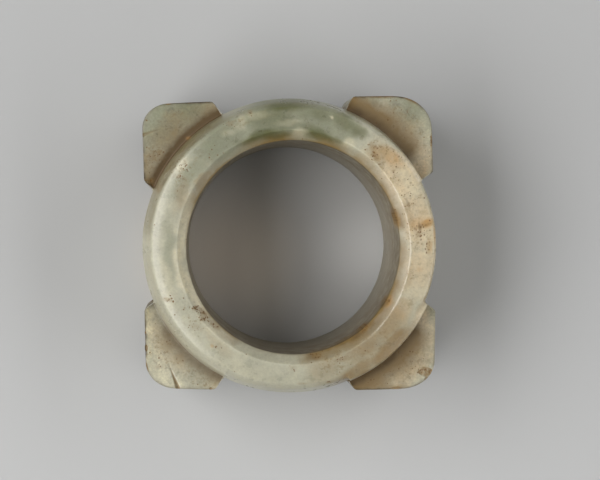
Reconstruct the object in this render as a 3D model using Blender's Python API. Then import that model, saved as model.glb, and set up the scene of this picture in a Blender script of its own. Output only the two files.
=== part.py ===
"""Jade thumb ring in the form of a squat cong: one carved solid lying on its underside.

Metres, +Z up. The origin is at the centre of the underside, on the axis of the round collars.
X points right and Y points up as one looks down on the upper face.
"""

import math
from typing import NamedTuple

import bmesh
import bpy
from mathutils import Matrix, Vector

MM = 0.001

# Heights
HEIGHT = 16.0 * MM
COLLAR_HEIGHT = 3.0 * MM
RIM_DROP = 0.78 * MM
ARRIS_DROP = 0.42 * MM
RIDGE_ROUNDING = 0.10 * MM
RIDGE_ROUNDING_DROP = 0.05 * MM

# The collar's wall, measured outwards from the bore
BORE_RIM_RADIUS = 11.13 * MM
BORE_FOOT_RADIUS = 10.88 * MM
BORE_SHIFT_X = 0.24 * MM
BORE_SHIFT_Y = -0.18 * MM
INNER_BAND = 1.03 * MM
OUTER_BAND = 2.16 * MM
COLLAR_FLARE = 1.13 * MM
ARRIS_OVAL = 0.14 * MM

# How much wider and flatter the collar is on the right, and how its wall swells over one block
RIGHT_ARRIS_OUT = 0.38 * MM
RIGHT_ARRIS_RISE = 0.20 * MM
LOWER_RIGHT_SWELL = (0.15 * MM, 0.30 * MM, 0.0 * MM)
LOWER_RIGHT_AZIMUTH = math.radians(-38.0)

# The ledge where the drillings from the two ends meet
DRILL_LEDGE_HEIGHT = 9.0 * MM
DRILL_LEDGE_STEP = 0.09 * MM

# The flat along the lower ridge that the ring lies on
LAND_WIDTH = 0.60 * MM

# The corner blocks
SHOULDER_HOLLOW = 0.22 * MM
SHOULDER_FILLET_RISE = 0.75 * MM
SHOULDER_FILLET_RUN = 0.45 * MM
EDGE_ROUNDING = 0.30 * MM
CHANNEL_EDGE_ROUNDING = 0.22 * MM

# The incised strokes
STROKE_WIDTH = 0.34 * MM
STROKE_DEPTH = 0.30 * MM
STROKE_TIP_DEPTH = 0.14 * MM
STROKE_OVERRUN = 0.60 * MM

# Curves, each point as shares of the width and of the fall that it lies between
INNER_BAND_CURVE = ((0.50, 0.54),)
OUTER_BAND_CURVE = ((0.34, 0.14), (0.68, 0.46), (0.93, 0.86))
LEFT_WALL_CURVE = ((0.10, 0.08), (0.55, 0.50), (0.90, 1.00))
RIGHT_WALL_CURVE = ((0.24, 0.05), (0.46, 0.15), (0.95, 1.00))
SHOULDER_FILLET_CURVE = ((0.17, 0.74), (0.75, 1.00))
SHOULDER_CURVE = ((0.35, 0.30), (0.70, 0.80))
CHANNEL_WALL_CURVE = (0.40, 0.28)

# Facets
CHANNEL_FACETS = 9
SIDE_FACETS = 3
CORNER_FACETS = 5

JADE_COLOUR = (0.46, 0.43, 0.31, 1.0)
JADE_ROUGHNESS = 0.32

RIDGE_RADIUS = BORE_RIM_RADIUS + INNER_BAND
ARRIS_RADIUS = RIDGE_RADIUS + OUTER_BAND
FOOT_RADIUS = ARRIS_RADIUS + COLLAR_FLARE


class Corner(NamedTuple):
    """One corner block, in the quadrant that its two signs give.

    A block has one side across X and one across Y. How far out a side stands is measured past
    the foot of the collar, at its end by the channel and at its end by the rounded corner. Its
    edge by the channel is measured from the axis that the channel crosses, and the channel's
    wall runs from that edge towards the axis.
    """

    sign_x: int
    sign_y: int
    x_side_out: tuple
    y_side_out: tuple
    x_side_edge: float
    y_side_edge: float
    x_wall_run: float
    y_wall_run: float
    round_x: float
    round_y: float


UPPER_RIGHT = Corner(
    sign_x=1,
    sign_y=1,
    x_side_out=(-0.30 * MM, -0.44 * MM),
    y_side_out=(0.27 * MM, 0.30 * MM),
    x_side_edge=7.72 * MM,
    y_side_edge=6.66 * MM,
    x_wall_run=0.82 * MM,
    y_wall_run=0.74 * MM,
    round_x=3.90 * MM,
    round_y=3.40 * MM,
)
UPPER_LEFT = Corner(
    sign_x=-1,
    sign_y=1,
    x_side_out=(-0.16 * MM, 0.00 * MM),
    y_side_out=(-0.32 * MM, -0.52 * MM),
    x_side_edge=6.80 * MM,
    y_side_edge=8.08 * MM,
    x_wall_run=0.90 * MM,
    y_wall_run=0.95 * MM,
    round_x=2.90 * MM,
    round_y=2.60 * MM,
)
LOWER_LEFT = Corner(
    sign_x=-1,
    sign_y=-1,
    x_side_out=(-0.15 * MM, -0.25 * MM),
    y_side_out=(-0.34 * MM, -0.47 * MM),
    x_side_edge=6.56 * MM,
    y_side_edge=7.90 * MM,
    x_wall_run=0.60 * MM,
    y_wall_run=0.84 * MM,
    round_x=3.20 * MM,
    round_y=2.90 * MM,
)
LOWER_RIGHT = Corner(
    sign_x=1,
    sign_y=-1,
    x_side_out=(-0.08 * MM, -0.18 * MM),
    y_side_out=(-0.13 * MM, -0.21 * MM),
    x_side_edge=6.90 * MM,
    y_side_edge=6.78 * MM,
    x_wall_run=0.78 * MM,
    y_wall_run=0.68 * MM,
    round_x=3.70 * MM,
    round_y=2.90 * MM,
)
CORNERS = (UPPER_RIGHT, UPPER_LEFT, LOWER_LEFT, LOWER_RIGHT)


class Stroke(NamedTuple):
    """An incised stroke on a block's shoulder, from one of its sides inwards."""

    corner: Corner
    from_x_side: bool
    along: float
    length: float
    heading: float


UPPER_LEFT_STROKE = Stroke(
    corner=UPPER_LEFT, from_x_side=True, along=11.56 * MM, length=2.3 * MM, heading=math.radians(19.0)
)
LOWER_LEFT_STROKE = Stroke(
    corner=LOWER_LEFT, from_x_side=False, along=11.80 * MM, length=2.9 * MM, heading=math.radians(110.0)
)
STROKES = (UPPER_LEFT_STROKE, LOWER_LEFT_STROKE)


class Chip(NamedTuple):
    """A scoop out of a shoulder, some way round its rounded corner and a little in from the edge."""

    corner: Corner
    turn: float
    inset: float
    length: float
    width: float
    depth: float


LOWER_RIGHT_CHIP = Chip(
    corner=LOWER_RIGHT,
    turn=math.radians(27.0),
    inset=0.55 * MM,
    length=1.6 * MM,
    width=1.3 * MM,
    depth=0.24 * MM,
)
CHIPS = (LOWER_RIGHT_CHIP,)


def mix(a, b, share):
    """The value a given share of the way from a to b."""
    return a + (b - a) * share


def side_distance(out, edge, end, along):
    """How far from the ring's axis a side stands at a place along it."""
    share = min(1.0, max(0.0, (along - edge) / (end - edge)))
    return FOOT_RADIUS + mix(out[0], out[1], share)


def x_side(corner, y):
    """The X side's distance from the axis at a height y, in the quadrant of +X and +Y."""
    end = FOOT_RADIUS + corner.y_side_out[1] - corner.round_y
    return side_distance(corner.x_side_out, corner.x_side_edge, end, y)


def y_side(corner, x):
    """The Y side's distance from the axis at a width x, in the quadrant of +X and +Y."""
    end = FOOT_RADIUS + corner.x_side_out[1] - corner.round_x
    return side_distance(corner.y_side_out, corner.y_side_edge, end, x)


def rounded_corner(corner, turn):
    """A point on the rounded corner, in the quadrant of +X and +Y, turned from the X side."""
    x_end = FOOT_RADIUS + corner.x_side_out[1] - corner.round_x
    y_end = FOOT_RADIUS + corner.y_side_out[1] - corner.round_y
    return x_end + corner.round_x * math.cos(turn), y_end + corner.round_y * math.sin(turn)


def channel_wall(edge, side, run):
    """Foot, hollow and edge of a wall beside a channel, as (across, out, share)."""
    foot = edge - run
    tube = math.sqrt(FOOT_RADIUS**2 - foot**2)
    out = side - CHANNEL_EDGE_ROUNDING
    along, rise = CHANNEL_WALL_CURVE
    return (foot, tube, 0.0), (mix(foot, edge, along), mix(tube, out, rise), rise), (edge, out, 1.0)


def block_outline(corner):
    """Stations (x, y, share) round one block, as if it lay in the quadrant of +X and +Y.

    The share is 0 at the foot of a channel wall, on the round tube, and 1 on the block.
    """
    wall = channel_wall(corner.x_side_edge, x_side(corner, corner.x_side_edge), corner.x_wall_run)
    stations = [(out, across, share) for across, out, share in wall]
    first = corner.x_side_edge + CHANNEL_EDGE_ROUNDING
    last = rounded_corner(corner, 0.0)[1]
    for i in range(SIDE_FACETS):
        y = mix(first, last, i / SIDE_FACETS)
        stations.append((x_side(corner, y), y, 1.0))
    for i in range(CORNER_FACETS + 1):
        stations.append((*rounded_corner(corner, math.pi / 2 * i / CORNER_FACETS), 1.0))
    first = corner.y_side_edge + CHANNEL_EDGE_ROUNDING
    last = rounded_corner(corner, math.pi / 2)[0]
    for i in reversed(range(SIDE_FACETS)):
        x = mix(first, last, i / SIDE_FACETS)
        stations.append((x, y_side(corner, x), 1.0))
    wall = channel_wall(corner.y_side_edge, y_side(corner, corner.y_side_edge), corner.y_wall_run)
    stations.extend(reversed(wall))
    return stations


def plan_stations():
    """Every station round the ring as (azimuth, outer radius, share), anticlockwise from +X."""
    blocks = []
    for corner in CORNERS:
        outline = [(corner.sign_x * x, corner.sign_y * y, share) for x, y, share in block_outline(corner)]
        if corner.sign_x * corner.sign_y < 0:
            outline.reverse()
        blocks.append([(math.atan2(y, x) % math.tau, math.hypot(x, y), share) for x, y, share in outline])
    ring = []
    for block, following in zip(blocks, blocks[1:] + blocks[:1]):
        ring.extend(block)
        start = block[-1][0]
        gap = (following[0][0] - start) % math.tau
        for i in range(1, CHANNEL_FACETS):
            ring.append((start + gap * i / CHANNEL_FACETS, FOOT_RADIUS, 0.0))
    return ring


def bore_distance(azimuth, radius):
    """Distance from the ring's axis to the wall of the bore, whose own axis is a little off it."""
    along = BORE_SHIFT_X * math.cos(azimuth) + BORE_SHIFT_Y * math.sin(azimuth)
    across = BORE_SHIFT_X * math.sin(azimuth) - BORE_SHIFT_Y * math.cos(azimuth)
    return along + math.sqrt(radius**2 - across**2)


def collar_profile(azimuth, share, top):
    """The collar's section from the bore's rim to its foot, as (radius, depth below the ridge).

    The ridge keeps to the bore. The arris is a little wider across X than across Y, and to the
    right it stands further out and higher. The wall outside it leans to the left and is steep to
    the right, and it swells where it rises from the lower right block. The lower collar has a
    flat land along its ridge, and the upper one is rounded there.
    """
    rightward = (1.0 + math.cos(azimuth)) / 2
    rim = bore_distance(azimuth, BORE_RIM_RADIUS if top else BORE_FOOT_RADIUS)
    ridge = bore_distance(azimuth, RIDGE_RADIUS)
    arris = ARRIS_RADIUS + ARRIS_OVAL * math.cos(2.0 * azimuth) + RIGHT_ARRIS_OUT * rightward
    arris_drop = ARRIS_DROP - RIGHT_ARRIS_RISE * rightward
    half_ridge = RIDGE_ROUNDING if top else LAND_WIDTH / 2
    soften = RIDGE_ROUNDING_DROP if top else 0.0
    inner = ridge - half_ridge
    outer = ridge + half_ridge
    points = [(rim, RIM_DROP)]
    points += [(mix(rim, inner, run), mix(RIM_DROP, soften, fall)) for run, fall in INNER_BAND_CURVE]
    points.append((inner, soften))
    if top:
        points.append((ridge, 0.0))
    points.append((outer, soften / 2))
    points += [(mix(outer, arris, run), fall * arris_drop) for run, fall in OUTER_BAND_CURVE]
    wall_foot = COLLAR_HEIGHT - SHOULDER_FILLET_RISE
    cornerward = share * max(0.0, math.cos(azimuth - LOWER_RIGHT_AZIMUTH))
    for left, right, swell in zip(LEFT_WALL_CURVE, RIGHT_WALL_CURVE, LOWER_RIGHT_SWELL):
        run = mix(left[0], right[0], rightward)
        fall = mix(left[1], right[1], rightward)
        radius = mix(arris, FOOT_RADIUS, run) + swell * cornerward
        points.append((radius, mix(arris_drop, wall_foot, fall)))
    return points


def shoulder_profile(outer_radius, share):
    """A block's shoulder and the top of its side, as (radius, depth below the ridge)."""
    fillet_end = FOOT_RADIUS + SHOULDER_FILLET_RUN
    fillet_start = COLLAR_HEIGHT - SHOULDER_FILLET_RISE
    rounded = outer_radius - EDGE_ROUNDING
    edge_depth = COLLAR_HEIGHT - SHOULDER_HOLLOW
    block = []
    for run, fall in SHOULDER_FILLET_CURVE:
        block.append((mix(FOOT_RADIUS, fillet_end, run), mix(fillet_start, COLLAR_HEIGHT, fall)))
    for run, rise in SHOULDER_CURVE:
        block.append((mix(fillet_end, rounded, run), COLLAR_HEIGHT - rise * SHOULDER_HOLLOW))
    bevel = (1.0 - math.sqrt(0.5)) * EDGE_ROUNDING
    block += [
        (rounded, edge_depth),
        (outer_radius - bevel, edge_depth + bevel),
        (outer_radius, edge_depth + EDGE_ROUNDING),
    ]
    lowest = edge_depth + EDGE_ROUNDING
    steps = len(block)
    tube = [(FOOT_RADIUS, mix(fillet_start, lowest, i / steps)) for i in range(1, steps + 1)]
    return [(mix(t[0], b[0], share), mix(t[1], b[1], share)) for t, b in zip(tube, block)]


def section(azimuth, outer_radius, share):
    """The closed section at one azimuth, as points up the bore, out, and down the outside."""
    rim = bore_distance(azimuth, BORE_RIM_RADIUS)
    foot = bore_distance(azimuth, BORE_FOOT_RADIUS)
    ledge = mix(foot, rim, DRILL_LEDGE_HEIGHT / HEIGHT)
    shoulder = shoulder_profile(outer_radius, share)
    upper = collar_profile(azimuth, share, True) + shoulder
    lower = collar_profile(azimuth, share, False) + shoulder
    path = [
        (mix(foot, ledge, 0.5), DRILL_LEDGE_HEIGHT / 2),
        (ledge - DRILL_LEDGE_STEP / 2, DRILL_LEDGE_HEIGHT - DRILL_LEDGE_STEP),
        (ledge + DRILL_LEDGE_STEP / 2, DRILL_LEDGE_HEIGHT + DRILL_LEDGE_STEP),
        (mix(ledge, rim, 0.5), mix(DRILL_LEDGE_HEIGHT, HEIGHT, 0.5)),
    ]
    path += [(radius, HEIGHT - depth) for radius, depth in upper]
    path += [(radius, depth) for radius, depth in reversed(lower)]
    outwards = Vector((math.cos(azimuth), math.sin(azimuth), 0.0))
    return [outwards * radius + Vector((0.0, 0.0, z)) for radius, z in path]


def new_object(name, bm):
    """A named object in the scene from a finished bmesh."""
    mesh = bpy.data.meshes.new(name)
    bmesh.ops.recalc_face_normals(bm, faces=bm.faces)
    bm.to_mesh(mesh)
    bm.free()
    obj = bpy.data.objects.new(name, mesh)
    bpy.context.scene.collection.objects.link(obj)
    return obj


def new_cutter(name, bm):
    """A cutter, which is drawn as wires and left out of renders."""
    cutter = new_object(name, bm)
    cutter.hide_render = True
    cutter.display_type = "WIRE"
    return cutter


def loft_ring(name):
    """The body of the ring: sections round the axis, each bridged to the next."""
    bm = bmesh.new()
    loops = []
    for azimuth, outer_radius, share in plan_stations():
        points = [bm.verts.new(point) for point in section(azimuth, outer_radius, share)]
        loops.append([bm.edges.new((points[i - 1], points[i])) for i in range(len(points))])
    for loop, following in zip(loops, loops[1:] + loops[:1]):
        bmesh.ops.bridge_loops(bm, edges=loop + following)
    return new_object(name, bm)


def stroke_cutter(stroke, name):
    """A wedge that narrows and rises along its length, as the edge of a wheel leaves it."""
    corner = stroke.corner
    if stroke.from_x_side:
        place = (x_side(corner, stroke.along), stroke.along)
    else:
        place = (stroke.along, y_side(corner, stroke.along))
    edge_z = HEIGHT - COLLAR_HEIGHT + SHOULDER_HOLLOW
    start = Vector((corner.sign_x * place[0], corner.sign_y * place[1], edge_z))
    along = Vector((math.cos(stroke.heading), math.sin(stroke.heading), 0.0))
    across = Vector((-along.y, along.x, 0.0))
    up = Vector((0.0, 0.0, 1.0))
    bm = bmesh.new()
    for distance, depth in ((-STROKE_OVERRUN, STROKE_DEPTH), (stroke.length, STROKE_TIP_DEPTH)):
        middle = start + along * distance
        top = middle + up * STROKE_DEPTH
        half_width = STROKE_WIDTH / 2 * (depth + STROKE_DEPTH) / STROKE_DEPTH
        for point in (middle - up * depth, top + across * half_width, top - across * half_width):
            bm.verts.new(point)
    bmesh.ops.convex_hull(bm, input=bm.verts)
    return new_cutter(name, bm)


def chip_cutter(chip, name):
    """A flattened ball that bites into a shoulder by its rounded edge."""
    corner = chip.corner
    x, y = rounded_corner(corner, chip.turn)
    edge = Vector((corner.sign_x * x, corner.sign_y * y, HEIGHT - COLLAR_HEIGHT + SHOULDER_HOLLOW))
    outwards = Vector((corner.sign_x * math.cos(chip.turn), corner.sign_y * math.sin(chip.turn), 0.0))
    place = Matrix.Translation(edge - outwards * chip.inset)
    turn = Matrix.Rotation(math.atan2(outwards.y, outwards.x), 4, "Z")
    size = Matrix.Diagonal((chip.width / 2, chip.length / 2, chip.depth, 1.0))
    bm = bmesh.new()
    bmesh.ops.create_icosphere(bm, subdivisions=2, radius=1.0)
    bmesh.ops.transform(bm, matrix=place @ turn @ size, verts=bm.verts)
    return new_cutter(name, bm)


def cut(obj, cutter):
    """Takes a cutter out of an object with an exact Boolean."""
    modifier = obj.modifiers.new(cutter.name, "BOOLEAN")
    modifier.operation = "DIFFERENCE"
    modifier.solver = "EXACT"
    modifier.object = cutter


def jade_material():
    """Pale grey-green nephrite with a soft polish."""
    material = bpy.data.materials.new("jade")
    material.use_nodes = True
    shader = material.node_tree.nodes["Principled BSDF"]
    shader.inputs["Base Color"].default_value = JADE_COLOUR
    shader.inputs["Roughness"].default_value = JADE_ROUGHNESS
    shader.inputs["Metallic"].default_value = 0.0
    return material


def main():
    """Builds the ring, then cuts its incised strokes and its chip."""
    for obj in list(bpy.data.objects):
        bpy.data.objects.remove(obj)
    ring = loft_ring("jade_thumb_ring")
    ring.data.materials.append(jade_material())
    ring.data.shade_smooth()
    ring.data.set_sharp_from_angle(angle=math.radians(40))
    for number, stroke in enumerate(STROKES, start=1):
        cut(ring, stroke_cutter(stroke, f"stroke_cutter_{number}"))
    for number, chip in enumerate(CHIPS, start=1):
        cut(ring, chip_cutter(chip, f"chip_cutter_{number}"))


main()
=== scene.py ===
"""Looks of the jade thumb ring: its carved body, its wear and stains, and the studio round it.

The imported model's frame holds throughout: +Z up along the bore, the photographed face on top,
+X to the photograph's right and +Y to its top. Sizes in the classes below are in millimetres
unless they say otherwise, and meshes are in metres.
"""

import logging
import math
import random
from collections.abc import Callable, Sequence
from dataclasses import astuple, dataclass
from enum import Enum
from functools import reduce
from typing import Any

import bmesh
import bpy
import numpy as np
from mathutils import Matrix, Vector, kdtree, noise


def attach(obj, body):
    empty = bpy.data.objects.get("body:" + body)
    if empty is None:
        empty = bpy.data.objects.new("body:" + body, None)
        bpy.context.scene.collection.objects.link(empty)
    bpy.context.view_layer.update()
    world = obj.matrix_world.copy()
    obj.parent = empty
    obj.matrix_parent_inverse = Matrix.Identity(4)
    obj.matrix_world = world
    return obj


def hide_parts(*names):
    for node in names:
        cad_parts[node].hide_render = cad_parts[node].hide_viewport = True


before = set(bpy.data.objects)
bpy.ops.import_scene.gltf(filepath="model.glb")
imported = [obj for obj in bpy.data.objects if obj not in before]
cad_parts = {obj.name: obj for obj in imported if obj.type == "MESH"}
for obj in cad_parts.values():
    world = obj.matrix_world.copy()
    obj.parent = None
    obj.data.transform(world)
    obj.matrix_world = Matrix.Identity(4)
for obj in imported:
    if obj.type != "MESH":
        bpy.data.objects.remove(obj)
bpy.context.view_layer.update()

MM = 0.001
NODE = "jade_thumb_ring"
BODY = "root"
SHARP_DEGREES = 48.0

Array = np.ndarray
Mesh = bpy.types.Mesh
Thing = bpy.types.Object
Pair = tuple[float, float]
Triple = tuple[float, float, float]
Shade = tuple[int, int, int]

log = logging.getLogger(NODE)


def mix(a: Any, b: Any, share: Any) -> Any:
    """The value a given share of the way from a to b."""
    return a + (b - a) * share


def smoothstep(value: Array, low: float, high: float) -> Array:
    """A smooth rise from 0 at low to 1 at high."""
    share = np.clip((value - low) / (high - low), 0.0, 1.0)
    return share * share * (3.0 - 2.0 * share)


def fade(value: Array, low: float, high: float) -> Array:
    """A smooth fall from 1 at low to 0 at high."""
    return 1.0 - smoothstep(value, low, high)


def rounded_path(
    points: Array, trims: Sequence[float], spacings: Sequence[float], flat: Callable[[Array], Array]
) -> Array:
    """Rounds the corners of an open path and divides its straight runs.

    Args:
        points: One row per corner, of any width.
        trims: How far each corner is cut back along both of its runs before it is rounded.
        spacings: The largest step along the run after each corner.
        flat: Turns rows into the two columns in which distances are measured.

    Returns:
        The rows of the rounded path, with its first and last corner kept.
    """
    runs = np.linalg.norm(np.diff(flat(points), axis=0), axis=1)
    rows: list[Array] = [points[0]]
    for i in range(1, len(points)):
        start = rows[-1]
        enter = leave = points[i]
        rounded = i < len(points) - 1
        if rounded:
            enter = mix(points[i], points[i - 1], min(trims[i], 0.49 * runs[i - 1]) / runs[i - 1])
            leave = mix(points[i], points[i + 1], min(trims[i], 0.49 * runs[i]) / runs[i])
        length = float(np.linalg.norm(flat(enter[None]) - flat(start[None])))
        steps = max(1, math.ceil(length / spacings[i - 1]))
        rows.extend(mix(start, enter, k / steps) for k in range(1, steps + 1))
        if rounded:
            turns = max(2, math.ceil(2.0 * trims[i] / min(spacings[i - 1], spacings[i])))
            for t in (k / turns for k in range(1, turns + 1)):
                rows.append((1 - t) ** 2 * enter + 2 * t * (1 - t) * points[i] + t * t * leave)
    return np.array(rows)


def vertex_places(mesh: Mesh) -> Array:
    """The mesh's vertices in millimetres, one row each.

    Args:
        mesh: The mesh to read.

    Returns:
        The places, with three columns.
    """
    places = np.empty(len(mesh.vertices) * 3, np.float32)
    mesh.vertices.foreach_get("co", places)
    return places.reshape(-1, 3).astype(float) / MM


def write_vertices(mesh: Mesh, places: Array) -> None:
    """Puts the mesh's vertices at places given in millimetres."""
    mesh.vertices.foreach_set("co", (places * MM).astype(np.float32).ravel())
    mesh.update()


def keep(mesh: Mesh, name: str, values: Array) -> None:
    """Keeps one number per vertex of the mesh under a name."""
    attribute = mesh.attributes.get(name) or mesh.attributes.new(name, "FLOAT", "POINT")
    attribute.data.foreach_set("value", np.asarray(values, np.float32))


def shown(name: str, data: Any) -> Thing:
    """A new object in the scene for a mesh, a light or a camera.

    Args:
        name: The object's name.
        data: The mesh, light or camera.

    Returns:
        The object.
    """
    thing = bpy.data.objects.new(name, data)
    bpy.context.scene.collection.objects.link(thing)
    return thing


def aim(thing: Thing, place: Vector, target: Vector, guide: Vector) -> None:
    """Puts a light or camera at a place, facing a target.

    Args:
        thing: The light or camera.
        place: Where it stands.
        target: What it faces.
        guide: The way that its X axis is square to.
    """
    back = (place - target).normalized()
    across = guide.cross(back).normalized()
    thing.location = place
    thing.rotation_euler = Matrix((across, back.cross(across), back)).transposed().to_euler()


def loop_object(name: str, places: Array, columns: dict[str, Array]) -> Thing:
    """A closed loop of edges that carries one number per point in each named column.

    Args:
        name: The object's name.
        places: One row of three coordinates per point.
        columns: The numbers to keep on the points, by attribute name.

    Returns:
        The loop as an object in the scene.
    """
    count = len(places)
    mesh = bpy.data.meshes.new(name)
    mesh.from_pydata(places.tolist(), [(i, (i + 1) % count) for i in range(count)], [])
    for column, values in columns.items():
        keep(mesh, column, values)
    return shown(name, mesh)


class Wire:
    """An output of a node. Arithmetic on wires and plain numbers adds Math nodes to its graph."""

    def __init__(self, graph: "Graph", socket: bpy.types.NodeSocket) -> None:
        """Holds a socket and the graph that it is in."""
        self.graph = graph
        self.socket = socket

    def __add__(self, other: Any) -> "Wire":
        """The sum."""
        return self.graph.math("ADD", self, other)

    def __sub__(self, other: Any) -> "Wire":
        """The difference."""
        return self.graph.math("SUBTRACT", self, other)

    def __mul__(self, other: Any) -> "Wire":
        """The product."""
        return self.graph.math("MULTIPLY", self, other)

    def __truediv__(self, other: Any) -> "Wire":
        """The quotient."""
        return self.graph.math("DIVIDE", self, other)

    def clamped(self) -> "Wire":
        """The result of a Math node, held between 0 and 1."""
        self.socket.node.use_clamp = True
        return self

    def beside(self, output: int | str) -> "Wire":
        """Another output of the same node, by name or number."""
        return Wire(self.graph, self.socket.node.outputs[output])


class Graph:
    """A node tree under construction, with a short call for each kind of node that is used."""

    def __init__(self, tree: bpy.types.NodeTree) -> None:
        """Starts from an existing tree."""
        self.tree = tree

    def feed(self, node: bpy.types.Node, inputs: dict[Any, Any]) -> None:
        """Links wires to a node's inputs, or sets them to plain values.

        Args:
            node: The node.
            inputs: Wires or plain values, by the input's name or number.
        """
        for name, value in inputs.items():
            if isinstance(value, Wire):
                self.tree.links.new(value.socket, node.inputs[name])
            else:
                node.inputs[name].default_value = value

    def add(self, kind: str, output: int | str, inputs: dict[Any, Any], **settings: Any) -> Wire:
        """Adds a node.

        Args:
            kind: The node's type in Blender.
            output: The output that is wanted, by name or number.
            inputs: What its inputs take, by name or number: wires or plain values.
            settings: Values of the node's own properties.

        Returns:
            The output.
        """
        node = self.tree.nodes.new(kind)
        for name, value in settings.items():
            setattr(node, name, value)
        self.feed(node, inputs)
        return Wire(self, node.outputs[output])

    def math(self, operation: str, *values: Any) -> Wire:
        """The result of a Math node."""
        return self.add("ShaderNodeMath", 0, dict(enumerate(values)), operation=operation)

    def vector(self, operation: str, inputs: dict[Any, Any], output: int | str = 0) -> Wire:
        """The result of a Vector Math node."""
        return self.add("ShaderNodeVectorMath", output, inputs, operation=operation)

    def most(self, *values: Any) -> Wire:
        """The largest of some numbers."""
        return reduce(lambda a, b: self.math("MAXIMUM", a, b), values)

    def split(self, vector: Wire) -> tuple[Wire, Wire, Wire]:
        """The three parts of a vector or a colour."""
        x = self.add("ShaderNodeSeparateXYZ", 0, {0: vector})
        return x, x.beside(1), x.beside(2)

    def rise(self, value: Any, low: Any, high: Any, bottom: Any = 0.0, top: Any = 1.0) -> Wire:
        """A smooth rise from bottom to top as the value goes from low to high."""
        inputs = {"Value": value, "From Min": low, "From Max": high, "To Min": bottom, "To Max": top}
        return self.add("ShaderNodeMapRange", "Result", inputs, interpolation_type="SMOOTHSTEP")

    def noise(self, place: Wire, scale: Any, detail: float, roughness: float = 0.55) -> Wire:
        """A noise value from 0 to 1 about a place.

        Args:
            place: The coordinates to read.
            scale: How many swells there are to a metre.
            detail: How many finer octaves are added.
            roughness: How strong the finer octaves are.

        Returns:
            The value.
        """
        inputs = {"Vector": place, "Scale": scale, "Detail": detail, "Roughness": roughness}
        return self.add("ShaderNodeTexNoise", 0, inputs, noise_dimensions="3D")

    def blend(self, share: Any, under: Any, over: Any) -> Wire:
        """A colour between two, over the first by the share that is given."""
        inputs = {0: share, 6: under, 7: over}
        return self.add("ShaderNodeMix", 2, inputs, data_type="RGBA", clamp_factor=True)


class FormTree(Graph):
    """A Geometry Nodes tree with named inputs, which is run once and leaves a plain mesh."""

    def __init__(self, name: str) -> None:
        """Starts a tree with a geometry input and a geometry output."""
        tree = bpy.data.node_groups.new(name, "GeometryNodeTree")
        tree.is_modifier = True
        super().__init__(tree)
        for way in ("INPUT", "OUTPUT"):
            tree.interface.new_socket("Geometry", in_out=way, socket_type="NodeSocketGeometry")
        self.entry = tree.nodes.new("NodeGroupInput")
        self.values: dict[str, Any] = {}

    def inlet(self, name: str = "Geometry") -> Wire:
        """One of the tree's own inputs."""
        return Wire(self, self.entry.outputs[name])

    def asks(self, name: str, kind: str, value: Any) -> Wire:
        """Adds a named input.

        Args:
            name: The input's name.
            kind: The kind of socket, such as Float.
            value: What the tree is run with.

        Returns:
            The input.
        """
        item = self.tree.interface.new_socket(name, in_out="INPUT", socket_type=f"NodeSocket{kind}")
        self.values[item.identifier] = value
        return self.inlet(name)

    def named(self, name: str, kind: str = "FLOAT") -> Wire:
        """Reads a named attribute of the geometry."""
        return self.add("GeometryNodeInputNamedAttribute", "Attribute", {"Name": name}, data_type=kind)

    def store(self, geometry: Wire, name: str, value: Wire, kind: str = "FLOAT") -> Wire:
        """The geometry with a value kept on its points under a name."""
        inputs = {"Geometry": geometry, "Name": name, "Value": value}
        return self.add("GeometryNodeStoreNamedAttribute", 0, inputs, data_type=kind, domain="POINT")

    def finish(self, geometry: Wire, material: Wire) -> None:
        """Ends the tree in Realize Instances and Set Material.

        Args:
            geometry: What the tree has made.
            material: The material to set.
        """
        real = self.add("GeometryNodeRealizeInstances", 0, {"Geometry": geometry})
        dressed = self.add("GeometryNodeSetMaterial", 0, {"Geometry": real, "Material": material})
        self.feed(self.tree.nodes.new("NodeGroupOutput"), {"Geometry": dressed})

    def run(self, thing: Thing) -> Mesh:
        """Runs the tree on an object.

        Args:
            thing: The object that gives the geometry input.

        Returns:
            The result as a mesh of its own. The object keeps no modifier.
        """
        modifier = thing.modifiers.new(self.tree.name, "NODES")
        modifier.node_group = self.tree
        for identifier, value in self.values.items():
            modifier[identifier] = value
        result = thing.evaluated_get(bpy.context.evaluated_depsgraph_get())
        mesh = bpy.data.meshes.new_from_object(result)
        thing.modifiers.remove(modifier)
        return mesh


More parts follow.
